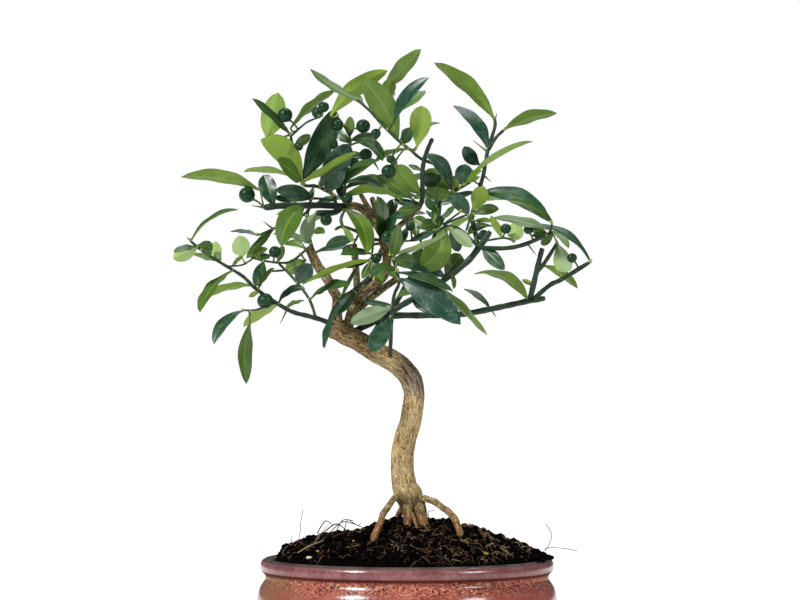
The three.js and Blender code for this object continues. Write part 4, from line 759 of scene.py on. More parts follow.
class Leaf:
    """Middle line, facing and width of a leaf from its row, with its tip at a depth."""

    def __init__(self, row, root, tip_depth):
        start_x, start_z, tip_x, tip_z, seen_width, tone, arch = row[:7]
        distance, root_x, root_z, root_depth = root
        self.tone = tone
        self.arch = arch
        self.stalked = distance > STALK_REACH
        self.root = seen(root_x, root_depth, root_z)
        self.start = self.root.copy()
        if self.stalked:
            self.start = seen(start_x, between(root_depth, tip_depth, 0.15), start_z)
        self.tip = seen(tip_x, tip_depth, tip_z)
        chord = self.tip - self.start
        self.length = chord.length
        self.along = chord.normalized()
        narrowest, widest = BLADE_WIDTHS
        self.width = max(seen_width, min(widest, max(narrowest, BLADE_SHARE * self.length)))
        self.rounded = self.width / self.length > ROUND_BLADE
        self.lift = Vector((self.along.z, 0, -self.along.x)).normalized()
        upright = abs(self.along.z) > 0.9
        if (self.lift.x if upright else self.lift.z) < 0:
            self.lift.negate()
        away = self.lift.cross(self.along)
        if away.y < 0:
            away.negate()
        top_seen = 1 if tone < UNDERSIDE_TONE else -1
        roll = math.acos(min(1, seen_width / self.width))
        self.belly = away * (-top_seen * math.cos(roll))
        self.facing = self.belly + self.lift * math.sin(roll)

    def middle(self, t):
        """Place on the middle line, which arches, bellies and droops at its tip."""
        bulge = 4 * t * (1 - t)
        droop = max(0, (t - 0.72) / 0.28) ** 2
        return (self.start.lerp(self.tip, t) + self.lift * (self.arch * bulge)
                + self.belly * (self.length * (0.05 * bulge - 0.12 * droop * (1 - t))))

    def half_width(self, t):
        peak = 1.3 if self.rounded else 1.08
        fullness = 0.56 if self.rounded else 0.66
        narrow = between(0.72, 1, eased(0, 0.34, t))
        return self.width / 2 * narrow * max(0.0, math.sin(math.pi * min(1, t) ** peak)) ** fullness


def blade_faces(columns):
    """Faces of the top, of the underside and of the two margins between them."""
    top, under, margin = [], [], []
    count = LEAF_ROWS * columns
    for row in range(LEAF_ROWS - 1):
        for column in range(columns - 1):
            a = row * columns + column
            top.append([a, a + columns, a + columns + 1, a + 1])
            under.append([a, a + 1, a + columns + 1, a + columns])
        for column, turned in ((0, False), (columns - 1, True)):
            a = row * columns + column
            quad = [a, count + a, count + a + columns, a + columns]
            margin.append(quad[::-1] if turned else quad)
    return top, under, margin


def add_leaf(skin, leaf, seed):
    """Thin blade with a midrib, wavy margins and a petiole."""
    random = Repeatable(seed)
    phases = [random(0, 1), random(0, 1)]
    waves = random(1.6, 2.8)
    height = between(0.15, 0.6, random()) * leaf.width / 10
    shade = random()
    swing = random(-0.06, 0.06)
    fold = FOLD * random(0.6, 1.7)
    if leaf.tone < UNDERSIDE_TONE:
        top_tone, under_tone = leaf.tone, min(0.8, leaf.tone + 0.28)
    else:
        top_tone, under_tone = min(0.45, leaf.tone - 0.3), leaf.tone
    top, under, looks_top, looks_under = [], [], [], []
    for row in range(LEAF_ROWS):
        t = row / (LEAF_ROWS - 1)
        ahead = leaf.middle(min(1, t + 0.03)) - leaf.middle(max(0, t - 0.03))
        along = ahead.normalized()
        side = leaf.facing.cross(along).normalized()
        up = along.cross(side)
        half = max(leaf.half_width(t), PETIOLE_RADIUS * (1 - t) ** 0.5)
        twist = swing * t
        for v in LEAF_COLUMNS:
            span = abs(v)
            on_rib = span < 0.1
            ripple = height * span * span * math.sin(math.pi * t)
            ripple *= math.sin(2 * math.pi * (t * waves + phases[0 if v > 0 else 1]))
            raised = fold * half * (span - 0.3 * span * span) + twist * v * half + ripple
            raised -= 0.12 if on_rib else 0.0
            centre = leaf.middle(t) + side * (v * half) + up * raised
            thick = BLADE_HALF_THICKNESS * (1 - 0.75 * span ** 3)
            rib = 0.5 * (1 - 0.7 * t) if on_rib else 0.0
            top.append(centre + up * thick)
            under.append(centre - up * (thick + rib))
            looks_top.append((t, v * 0.5 + 0.5, top_tone, shade))
            looks_under.append((t, v * 0.5 + 0.5, under_tone, shade))
    faces_top, faces_under, faces_margin = blade_faces(len(LEAF_COLUMNS))
    skin.add(top, faces_top, looks_top, LEAF_TOP)
    skin.add(under, faces_under, looks_under, LEAF_UNDER)
    skin.add(top + under, faces_margin, looks_top + looks_under, LEAF_UNDER)
    if leaf.stalked:
        bend = leaf.root.lerp(leaf.start, 0.5) - Vector((0, 0, 0.6))
        tone = min(0.7, leaf.tone * 0.6 + 0.25)
        add_curve(skin, [leaf.root, bend, leaf.start], [1.5, 1.1, 1.1], 4, 7, STEM, tone, shade)


# Fruits, buds and whole sprays

def add_fruit(skin, root, centre, radius, seed):
    """Round green fruit on a short stalk, with a small calyx and the mark of its style."""
    random = Repeatable(seed)
    add_ball(skin, centre, radius, FRUIT, random(0.0, 0.3), random(), 0.97)
    towards = (root - centre).normalized()
    neck = centre + towards * radius * 0.96
    bend = root.lerp(neck, 0.5) + Vector((0, 0, 0.8))
    add_curve(skin, [root, bend, neck], [1.3, 1.1, 1.5], 5, 8, STEM, 0.55, random())
    across = towards.orthogonal().normalized()
    other = towards.cross(across)
    points, looks = [neck + towards * 0.55], [(0, 0, 0.8, 0.5)]
    lobes = 10
    for i in range(lobes):
        angle = 2 * math.pi * i / lobes
        reach = radius * (0.42 if i % 2 == 0 else 0.26)
        spoke = across * math.cos(angle) + other * math.sin(angle)
        drop = radius - math.sqrt(radius * radius - reach * reach)
        points.append(centre + towards * (radius + 0.12 - drop) + spoke * reach)
        looks.append((1, i / lobes, 0.8, 0.5))
    skin.add(points, [[0, 1 + i, 1 + (i + 1) % lobes] for i in range(lobes)], looks, STEM)
    add_ball(skin, centre - towards * radius * 0.99, 0.32, STEM, 0.7, 0.5, 1, 8, 6)


def add_bud(skin, place, size):
    """Four small balls on top of one another, each smaller and nearer to the front."""
    for i in range(4):
        shift = Vector((math.cos(1.9 * i) * size * 0.6, -0.8 - 0.2 * i, math.sin(1.9 * i) * size * 0.6))
        add_ball(skin, place + shift, size * (0.58 - 0.08 * i), STEM, 0.86, 0.5, 1.3, 10, 8)


def packed_points(node):
    """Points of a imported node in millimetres, for a quick search."""
    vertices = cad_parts[node].data.vertices
    tree = kdtree.KDTree(len(vertices))
    for vertex in vertices:
        tree.insert(vertex.co / MM, vertex.index)
    tree.balance()
    return tree


def matched_depth(tree, depths, place):
    """The depth, out of those that the solid model tries, at which it has a point at the place."""
    best = (math.inf, depths[0])
    for depth in depths:
        distance = tree.find(place(depth))[2]
        if distance < best[0] - 0.02:
            best = (distance, depth)
    return best[1] if best[0] < 1 else depths[0]


def back_leaves(stem, seed):
    """Leaf rows for a hidden spray, turned round its stem from one leaf to the next."""
    random = Repeatable(seed)
    rows = []
    for i in range(BACK_LEAF_COUNT):
        place = between(BACK_LEAF_START, 1, i / (BACK_LEAF_COUNT - 1)) * (len(stem.path) - 1)
        step = min(math.floor(place), len(stem.path) - 2)
        t = place - step
        x = between(stem.path[step][0], stem.path[step + 1][0], t)
        z = between(stem.path[step][1], stem.path[step + 1][1], t)
        angle = math.radians(GOLDEN_ANGLE * i + 40 * random())
        length = BACK_LEAF_LENGTH * between(0.8, 1.15, random())
        rise = length * between(-0.1, 0.55, random())
        tone = between(0.1, 0.7, random())
        reach = length * 0.85
        rows.append([x, z, x + reach * math.cos(angle), z + rise, 4, tone, 2, reach * math.sin(angle)])
    return rows


def make_spray(name, stems, materials, leaves, fruits=(), thorns=()):
    """One piece of stems with all that grows on them, in the place of its spray in model.glb."""
    skin = Skin()
    tree = packed_points(name)
    seed = sum(ord(letter) for letter in name)
    for i, stem in enumerate(stems):
        line, girth = smooth_path(stem.points, stem.widths, 5)
        girth = [width * (1 + 0.07 * math.sin(step * 1.9 + i)) for step, width in enumerate(girth)]
        girth[-1] *= 0.6
        tone = 0.25 if stem.widths[0] > THICK_STEM else 0.4
        add_tube(skin, line, girth, 10, STEM, tone, Repeatable(seed + i)())
    for i, row in enumerate(leaves + LEAFLETS.get(name, [])):
        root = nearest_on_stems(stems, row[0], row[1])
        depths = [root[3] + row[7] + step for step in DEPTH_TRIES]
        tip_depth = matched_depth(tree, depths, lambda depth: seen(row[2], depth, row[3]))
        leaf = Leaf(row, root, tip_depth)
        add_leaf(skin, leaf, 100 * seed + 7 * i + 3)
        add_ball(skin, leaf.root + leaf.facing * 0.5 + leaf.along * 0.5, 1.0, STEM, 0.72, 0.6, 1.1, 8, 6)
    for x, z, size in BUDS.get(name, []):
        root = nearest_on_stems(stems, x, z)
        add_bud(skin, seen(root[1], root[3], root[2]), size)
    for i, (x, z, radius) in enumerate(fruits):
        root = nearest_on_stems(stems, x, z)
        depths = [root[3] + step for step in FRUIT_TRIES]
        depth = matched_depth(tree, depths, lambda depth: seen(x, depth, z) + Vector((0, 0, radius)))
        add_fruit(skin, seen(root[1], root[3], root[2]), seen(x, depth, z), radius, 50 * seed + i + 1)
    for x, z, tip_x, tip_z in thorns:
        root = nearest_on_stems(stems, x, z)
        ends = [seen(root[1], root[3], root[2]), seen(tip_x, root[3] - 2, tip_z)]
        add_curve(skin, ends, [1.5, 0.25], 5, 8, STEM, 0.6, 0.4)
    piece = skin.make(name + "_fine", materials)
    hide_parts(name)
    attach(piece, "root")


# Trunk

def kink(point):
    """Repeatable shift between about -1 and 1 each way, which changes slowly from place to place."""
    return Vector([noise.noise(point + Vector((0, 0, 20 * i))) for i in range(3)])


def bark_stems():
    """Every barked stem as (smooth line, widths, kind of bark)."""
    points = [seen(x, FOOT_DEPTH if z < FOOT_HEIGHT else 0, z) for x, z, _ in TRUNK_PATH]
    widths = [width * (FOOT_SLIMNESS if z < FOOT_HEIGHT else 1) for _, z, width in TRUNK_PATH]
    stems = [(*smooth_path(points, widths, 8), TRUNK_BARK)]
    for row in ROOTS:
        stem = Stem(*row, 1)
        line, girth = smooth_path(stem.points, stem.widths, 6)
        slim = 1 if stem.widths[0] < ROOTLET_WIDTH else ROOT_SLIMNESS
        girth = [width * slim * (1 + 0.1 * noise.noise(point / 4)) for width, point in zip(girth, line)]
        line = [point + kink(point / 7) * ROOT_KINK for point in line]
        stems.append((line, girth, ROOT_BARK))
    for i, row in enumerate(LIMBS):
        stem = Stem(*row)
        kind = GREEN_BARK if i >= len(LIMBS) - GREEN_LIMBS else LIMB_BARK
        stems.append((*smooth_path(stem.points, stem.widths, 6), kind))
    return stems


def fuse(piece, voxel):
    """Melts the crossing tubes of a piece into one skin."""
    remesh = piece.modifiers.new("fuse", "REMESH")
    remesh.mode = "VOXEL"
    remesh.voxel_size = voxel * MM
    smooth = piece.modifiers.new("soften", "SMOOTH")
    smooth.factor = 0.5
    smooth.iterations = 2
    apply_modifiers(piece)


def bark_frame(stems):
    """Joins the stems' segments in arrays, for finding the nearest one to a point."""
    starts, ends, lengths, kinds, widths = [], [], [], [], []
    for line, girth, kind in stems:
        run = 0.0
        for i in range(len(line) - 1):
            starts.append(line[i])
            ends.append(line[i + 1])
            lengths.append(run)
            kinds.append(kind)
            widths.append(girth[i])
            run += (line[i + 1] - line[i]).length
    return np.array(starts), np.array(ends), np.array(lengths), np.array(kinds), np.array(widths)


def bark_colour(red, green, blue):
    return np.array(srgb(red, green, blue)[:3])


TRUNK_TAN = bark_colour(192, 156, 97)
TRUNK_PALE = bark_colour(234, 206, 154)
TRUNK_GREY = bark_colour(132, 118, 110)
TRUNK_OLIVE = bark_colour(112, 100, 58)
TRUNK_GOLD = bark_colour(142, 106, 56)
ROOT_BROWN = bark_colour(172, 112, 54)
ROOT_MOSS = bark_colour(112, 98, 48)
LIMB_BROWN = bark_colour(134, 112, 78)
LIMB_GREEN = bark_colour(64, 84, 48)


def make_trunk(material):
    """Trunk, roots and limbs as one fused skin."""
    skin = Skin()
    stems = bark_stems()
    for line, girth, _ in stems:
        add_tube(skin, line, girth, 16, 0, 0, 0)
    add_ball(skin, Vector((-2.4, -2, 195.6)), 1.7, 0, 0, 0)
    add_ball(skin, Vector((-43.4, 0, 213)), 5.6, 0, 0, 0)
    piece = skin.make("trunk_fine", [material])
    fuse(piece, TRUNK_VOXEL)
    dress_bark(piece.data, stems)
    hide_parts("trunk")
    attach(piece, "root")


def dress_bark(mesh, stems):
    """Gives each point of the bark its relief, its colour and its place along the nearest stem."""
    count = len(mesh.vertices)
    flat = np.empty(count * 3)
    mesh.vertices.foreach_get("co", flat)
    places = flat.reshape(-1, 3) / MM
    mesh.vertices.foreach_get("normal", flat)
    normals = flat.reshape(-1, 3).copy()
    starts, ends, lengths, kinds, widths = bark_frame(stems)
    spans = ends - starts
    squared = (spans ** 2).sum(axis=1)
    marks = np.zeros((count, 3))
    tints = np.ones((count, 4))
    shifts = np.zeros(count)
    for i, place in enumerate(places):
        t = np.clip(((place - starts) * spans).sum(axis=1) / squared, 0, 1)
        offsets = place - (starts + spans * t[:, None])
        distances = np.sqrt((offsets ** 2).sum(axis=1))
        pick = int(np.argmin(distances - widths / 2))
        along = spans[pick] / math.sqrt(squared[pick])
        side = np.cross(along, (0, 1, 0))
        angle = math.atan2(offsets[pick] @ side, offsets[pick][1])
        run = lengths[pick] + t[pick] * math.sqrt(squared[pick])
        radius = widths[pick] / 2
        kind = kinds[pick]
        marks[i] = (math.cos(angle) * radius, math.sin(angle) * radius, run + 40 * kind)
        tints[i, :3] = bark_tint(kind, place, angle)
        tints[i, 3] = max(bark_age(kind, place), 0.6 * foot_share(place[2]) * (kind <= ROOT_BARK))
        shifts[i] = bark_relief(kind, radius, run, angle, pick)
    moved = (places + normals * shifts[:, None]) * MM
    mesh.vertices.foreach_set("co", moved.ravel())
    mesh.attributes.new("bark_place", "FLOAT_VECTOR", "POINT")
    mesh.attributes["bark_place"].data.foreach_set("vector", marks.ravel())
    mesh.attributes.new("bark_tint", "FLOAT_COLOR", "POINT")
    mesh.attributes["bark_tint"].data.foreach_set("color", tints.ravel())
    mesh.polygons.foreach_set("use_smooth", [True] * len(mesh.polygons))
    mesh.update()


def bark_relief(kind, radius, run, angle, pick):
    """How far the bark stands out in millimetres: long furrows on the trunk, small knots elsewhere."""
    def rough(girth, pitch, shift):
        return noise.noise(Vector((math.cos(angle) * girth, math.sin(angle) * girth, run / pitch + shift)))

    furrow = 1 - 2 * abs(rough(2.1, 15, kind * 9))
    ripple = 1 - 2 * abs(rough(4.4, 7, kind * 5))
    lump = rough(0.7, 13, pick * 0.001)
    if kind == TRUNK_BARK:
        return 0.42 * furrow + 0.2 * ripple + 0.5 * lump - 0.35
    if kind == GREEN_BARK:
        return 0.06 * ripple + 0.12 * lump
    return 0.14 * ripple + 0.3 * lump * min(1, radius / 3) - 0.05


def bark_age(kind, place):
    """Share of the grey furrowed bark on the outer side of the bend."""
    return eased(168, 182, place[2]) * eased(-9, 2, place[0]) if kind == TRUNK_BARK else 0.0


def foot_share(z):
    """How much of the foot's brown a height has: 1 at the soil, 0 on the trunk."""
    return 1 - eased(100, 112, z)


def bark_tint(kind, place, angle):
    """Base colour of the bark at a place."""
    def over(base, colour, share):
        return base * (1 - share) + colour * share

    x, _, z = place
    blotch = 0.5 + 0.5 * noise.noise(Vector(place) / 9)
    if kind == GREEN_BARK:
        return LIMB_GREEN * (1 - 0.3 * blotch) + LIMB_BROWN * 0.25 * blotch
    if kind == LIMB_BARK:
        return LIMB_BROWN * (0.7 + 0.5 * blotch) + LIMB_GREEN * 0.12
    foot = foot_share(z)
    base = over(TRUNK_TAN, TRUNK_PALE, eased(0.32, 0.68, blotch))
    base = over(base, TRUNK_GREY, 0.9 * bark_age(kind, place))
    edge = eased(0.75, 1.0, abs(math.sin(angle))) * (1 - foot)
    base = over(base, TRUNK_OLIVE, 0.4 * edge)
    gold = eased(-4, -22, x) * eased(186, 200, z)
    base = over(base, TRUNK_GOLD, 0.8 * gold)
    base = over(base, ROOT_BROWN, 0.7 * foot)
    moss = eased(100, 104, z) * (1 - eased(111, 117, z)) * (1 - eased(7, 11, abs(x - 1)))
    base = over(base, ROOT_MOSS, 0.75 * moss)
    if kind == ROOT_BARK:
        base = over(base, over(ROOT_BROWN, TRUNK_OLIVE, eased(98, 111, z)), 0.7)
    return base


# Soil

def soil_height(x, y):
    """Height of the soil mound, in millimetres."""
    radius = math.hypot(x, y)
    dip = SOIL_DIP_DEPTH * math.exp(-(((x - SOIL_DIP_X) / SOIL_DIP_WIDTH) ** 2))
    height = read_curve(SOIL_HEIGHT, radius) + (SOIL_TILT * y - dip) * (1 - radius / RIM_RADIUS)
    clods = noise.fractal(Vector((x, y, 3)) / 9, 0.6, 2.1, 5)
    lumps = abs(noise.noise(Vector((x, y, 7)) / 4.5))
    crumbs = noise.noise(Vector((x, y, 9)) / 2.1)
    fade = 1 - eased(74, 79, radius)
    return height - 0.6 + (1.7 * clods + 2.4 * lumps + 0.8 * crumbs) * (0.2 + 0.8 * fade)


def on_soil(x, y, lift=0.0):
    """Place above the soil at x and y."""
    return Vector((x, y, soil_height(x, y) + lift))


def random_spot(random, reach):
    """(radius, x, y) of a place that is as likely anywhere within reach of the middle."""
    radius = reach * math.sqrt(random())
    angle = random(0, 2 * math.pi)
    return radius, radius * math.cos(angle), radius * math.sin(angle)


def chip(skin, random, centre, size, kind, tone, flat=1.0):
    """Small rough lump: a soil crumb, a bit of bark or a white grain."""
    corners = [(1, 0, 0), (-1, 0, 0), (0, 1, 0), (0, -1, 0), (0, 0, 1), (0, 0, -1),
               (0.6, 0.6, 0.6), (-0.6, 0.6, 0.6), (-0.6, -0.6, 0.6), (0.6, -0.6, 0.6),
               (0.6, 0.6, -0.6), (-0.6, 0.6, -0.6), (-0.6, -0.6, -0.6), (0.6, -0.6, -0.6)]
    faces = []
    for pole in (4, 5):
        base = 6 if pole == 4 else 10
        for i in range(4):
            a, b = base + i, base + (i + 1) % 4
            faces.append([pole, a, b] if pole == 4 else [pole, b, a])
    for side, (a, b) in {0: (9, 6), 2: (6, 7), 1: (7, 8), 3: (8, 9)}.items():
        faces.append([side, b, a])
        faces.append([side, a + 4, b + 4])
        faces.append([side, a, a + 4])
        faces.append([side, b + 4, b])
    turn = random(0, 6.28)
    stretch = Vector((random(0.7, 1.4), random(0.6, 1.1), random(0.5, 1.0) * flat)) * size
    points = []
    for corner in corners:
        place = Vector([part * random(0.75, 1.2) for part in corner])
        place = Vector([place[i] * stretch[i] for i in range(3)])
        points.append(centre + Vector((place.x * math.cos(turn) - place.y * math.sin(turn),
                                       place.x * math.sin(turn) + place.y * math.cos(turn), place.z)))
    skin.add(points, faces, [(random(), random(), tone, random())] * len(points), kind)


def make_soil(soil_material, bits):
    """Rough soil that fills the pot down to its floor and leaves room for the screen."""
    skin = Skin()
    points, looks = [], []
    for row in range(1, SOIL_RINGS + 1):
        for share, x, y in ring(SOIL_RADIUS * row / SOIL_RINGS, SOIL_SPOKES):
            points.append(on_soil(x, y))
            looks.append((row / SOIL_RINGS, share, 0.1, 0.5))
    bottom = FLOOR_THICKNESS + GAP
    over_screen = FLOOR_THICKNESS + SCREEN_THICKNESS + 2 * GAP
    wall = [[radius - GAP - 0.1, z] for radius, z in POT_INSIDE[2:]]
    wall[-1][1] = bottom
    wall += [[SCREEN_RADIUS + 0.6, bottom], [SCREEN_RADIUS + 0.5, over_screen]]
    for radius, z in wall:
        for share, x, y in ring(radius, SOIL_SPOKES):
            points.append(Vector((x, y, z)))
            looks.append((1, share, 0.1, 0.5))
    skin.add(points, ring_faces(SOIL_RINGS + len(wall), SOIL_SPOKES), looks, 0)
    piece = skin.make("soil_fine", [soil_material])
    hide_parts("soil")
    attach(piece, "root")
    make_soil_bits(bits)


def add_crumbs(skin, random):
    """Crumbs and clods all over the soil, lumps in its middle and a small heap on the rim."""
    for i in range(CRUMB_COUNT):
        radius, x, y = random_spot(random, 78)
        size = random(0.5, 1.9) if radius < 74 else random(0.4, 1.1)
        chip(skin, random, on_soil(x, y, 0.25 * size), size, CRUMB, random(0.0, 0.35))
    for i in range(CLOD_COUNT):
        _, x, y = random_spot(random, 73)
        size = random(1.6, 3.9)
        chip(skin, random, on_soil(x, y, -0.1 * size), size, CRUMB, random(0.0, 0.3))
    for i in range(LUMP_COUNT):
        x, y = random(-66, 66), random(-6, 26)
        size = random(2.4, 4.6)
        chip(skin, random, on_soil(x, y, -0.3 * size), size, CRUMB, random(0.0, 0.3), 0.8)
    for i in range(RIM_CRUMBS):
        angle = math.radians(random(-26, 22))
        radius = random(73, 86.6)
        height = RIM_TOP + (read_curve(RIM_HEAP, radius) - RIM_TOP) * random(0.2, 1.0)
        place = Vector((radius * math.cos(angle), radius * math.sin(angle), height))
        chip(skin, random, place, random(0.7, 2.1), CRUMB, random(0, 0.3))


def add_rootlet(skin, random, x, y):
    """Fine fibre that wanders over the soil from a place."""
    heading = random(0, 2 * math.pi)
    step_length = random(0.4, 1.0) + random(0, 1.2) ** 2
    curl = random(-0.26, 0.26)
    arch = random(0.1, 1.6)
    straw = eased(15, 60, x)
    line = []
    for step in range(ROOTLET_STEPS + 1):
        line.append(on_soil(x, y, 0.1 + arch * math.sin(math.pi * step / ROOTLET_STEPS)))
        x += math.cos(heading) * step_length
        y += math.sin(heading) * step_length
        heading += curl + random(-0.35, 0.35)
        if math.hypot(x, y) > 78:
            break
    if len(line) > 3:
        width = random(0.16, 0.36)
        girth = [width * (1 - 0.5 * step / len(line)) for step in range(len(line))]
        tone = random(0.0, 1.0) * random(0.1, 0.9)
        add_tube(skin, line, girth, 4, FIBRE, tone * (1 - 0.4 * straw) + 0.35 * straw, random())


def add_twig(skin, random, x, y):
    """Short bent twig that rises from the soil at a place."""
    start = on_soil(x, y, -0.4)
    reach = random(6, 15)
    rise = random(0.5, 5.5)
    end = start + Vector((reach * random(-0.5, 1), reach * random(-0.5, 0.5), rise))
    middle = start.lerp(end, 0.5) + Vector((random(-1, 1), 0, random(-0.6, 1.8)))
    widths = [random(0.5, 0.9), 0.6, 0.3]
    add_curve(skin, [start, middle, end], widths, 5, 5, FIBRE, random(0.1, 0.26), 0.5)


def make_soil_bits(bits):
    """Crumbs, fibres, light grains and bits of bark that lie on the soil."""
    skin = Skin()
    random = Repeatable(41)
    add_crumbs(skin, random)
    for i in range(ROOTLET_COUNT):
        _, x, y = random_spot(random, 77)
        crowd = noise.noise(Vector((x, y, 1)) / 13) + 0.5 * eased(-30, 40, x)
        if crowd >= random(-0.3, 0.6):
            add_rootlet(skin, random, x, y)
    for x, z, depth, size, tone in SOIL_GRAINS:
        place = seen(x, depth, z)
        place.z = max(place.z, soil_height(place.x, place.y))
        chip(skin, random, place, size, GRAIN, tone, 0.8)
    for path in HAIR_ROOTS:
        points = [seen(x, 0, z) for x, z in path]
        add_curve(skin, points, [HAIR_ROOT_WIDTH] * len(points), 6, 5, FIBRE, 0.0, 0.5)
    for path, depth, width, tone in TWIGS:
        points = [seen(x, depth, z) for x, z in path]
        add_curve(skin, points, [width] * (len(points) - 1) + [width / 2], 5, 5, FIBRE, tone, 0.5)
    for i in range(TWIG_COUNT):
        add_twig(skin, random, random(-62, -30), random(-22, 24))
    piece = skin.make("soil_bits", bits)
    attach(piece, "root")


# Pot

def make_pot(material):
    """Glazed pot turned from the solid's own profile, smoothed."""
    profile = [Vector((radius, 0, z)) for radius, z in POT_OUTSIDE[1:] + POT_INSIDE]
    line, _ = smooth_path(profile, [1] * len(profile), 5)
    line = [Vector((FOOT_RADIUS, 0, 0)), Vector((FOOT_RADIUS, 0, FOOT_EDGE))] + line
    points, looks = [], []
    for place in line:
        for share, x, y in ring(min(place.x, RIM_RADIUS + 2), POT_SPOKES):
            points.append(Vector((x, y, max(0.0, place.z))))
            looks.append((0, share, 0, 0))
    skin = Skin()
    skin.add(points, ring_faces(len(line), POT_SPOKES), looks, 0)
    piece = skin.make("pot_fine", [material])
    for angle in DRAIN_ANGLES:
        cut_drain(piece, math.radians(angle))
    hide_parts("pot")
    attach(piece, "root")


def cut_drain(piece, turn):
    """Cuts one drain hole and its groove in the foot."""
    x, y = DRAIN_HOLE_REACH * math.cos(turn), DRAIN_HOLE_REACH * math.sin(turn)
    ends = [Vector((x, y, -2)), Vector((x, y, FLOOR_THICKNESS + 3))]
    hole = Skin()
    add_tube(hole, ends, [2 * DRAIN_HOLE_RADIUS] * 2, 32, 0, 0, 0)
    subtract(piece, hole.make("drain_cutter", []))
    groove = Skin()
    along = Vector((math.cos(turn), math.sin(turn), 0))
    across = Vector((-along.y, along.x, 0)) * GROOVE_WIDTH / 2
    points = []
    for reach in (DRAIN_HOLE_REACH, FOOT_RADIUS + 3):
        for side, z in ((-1, -2), (1, -2), (1, GROOVE_DEPTH), (-1, GROOVE_DEPTH)):
            points.append(along * reach + across * side + Vector((0, 0, z)))
    groove.add(points, ring_faces(2, 4), [(0, 0, 0, 0)] * len(points), 0)
    subtract(piece, groove.make("groove_cutter", []))


def subtract(piece, cutter):
    cut = piece.modifiers.new("cut", "BOOLEAN")
    cut.operation = "DIFFERENCE"
    cut.object = cutter
    apply_modifiers(piece)
    bpy.data.objects.remove(cutter)


# Materials

class Look:
    """A material with its node tree and short ways to add nodes."""

    def __init__(self, name):
        self.material = bpy.data.materials.new(name)
        self.material.use_nodes = True
        self.tree = self.material.node_tree
        self.shader = self.tree.nodes["Principled BSDF"]

    def add(self, kind, inputs=(), **settings):
        """A node with its settings, and with inputs given as {name or number: value or socket}."""
        node = self.tree.nodes.new(kind)
        for name, value in settings.items():
            setattr(node, name, value)
        for key, value in dict(inputs).items():
            self.put(node.inputs[key], value)
        return node

    def put(self, socket, value):
        if isinstance(value, bpy.types.NodeSocket):
            self.tree.links.new(value, socket)
        else:
            socket.default_value = value

    def surface(self, **inputs):
        for name, value in inputs.items():
            self.put(self.shader.inputs[name.replace("_", " ")], value)

    def math(self, operation, a, b=0.0):
        return self.add("ShaderNodeMath", {0: a, 1: b}, operation=operation).outputs[0]

    def times(self, a, b):
        return self.math("MULTIPLY", a, b)

    def plus(self, a, b):
        return self.math("ADD", a, b)

    def minus(self, a, b):
        return self.math("SUBTRACT", a, b)

    def sway(self, value, width):
        """A noise's value as a number on both sides of 0."""
        return self.times(self.minus(value, 0.5), width)

    def grey(self, value, low, high, start, end):
        """A number that goes from start to end as value goes from low to high."""
        node = self.add("ShaderNodeMapRange", {0: value, 1: low, 2: high, 3: start, 4: end})
        return node.outputs[0]

    def rise(self, value, low, high, top=1.0):
        return self.grey(value, low, high, 0.0, top)

    def fall(self, value, low, high, top=1.0):
        return self.grey(value, low, high, top, 0.0)

    def ramp(self, value, stops):
        """Colour ramp with (place, linear colour) stops."""
        node = self.add("ShaderNodeValToRGB", {0: value})
        elements = node.color_ramp.elements
        while len(elements) < len(stops):
            elements.new(0.5)
        for element, (place, colour) in zip(elements, stops):
            element.position = place
            element.color = colour
        return node.outputs["Color"]

    def mix(self, share, a, b, blend="MIX"):
        node = self.add("ShaderNodeMix", data_type="RGBA", blend_type=blend)
        for socket, value in ((0, share), (6, a), (7, b)):
            self.put(node.inputs[socket], value)
        return node.outputs[2]

    def place(self):
        return self.add("ShaderNodeTexCoord").outputs["Object"]

    def stretched(self, place, scale):
        return self.add("ShaderNodeMapping", {0: place, 3: scale}).outputs[0]

    def noise(self, place, scale, detail=3.0, roughness=0.5):
        inputs = {"Vector": place, "Scale": scale, "Detail": detail, "Roughness": roughness}
        return self.add("ShaderNodeTexNoise", inputs).outputs["Fac"]

    def bump(self, height, strength, distance):
        node = self.add("ShaderNodeBump", {"Height": height, "Strength": strength, "Distance": distance})
        self.put(self.shader.inputs["Normal"], node.outputs[0])

    def point_look(self):
        """The four parts of a point's look: along, across, tone and seed."""
        attribute = self.add("ShaderNodeAttribute", attribute_name="look")
        parts = self.add("ShaderNodeSeparateColor", {0: attribute.outputs["Color"]})
        return (*parts.outputs[:3], attribute.outputs["Alpha"])


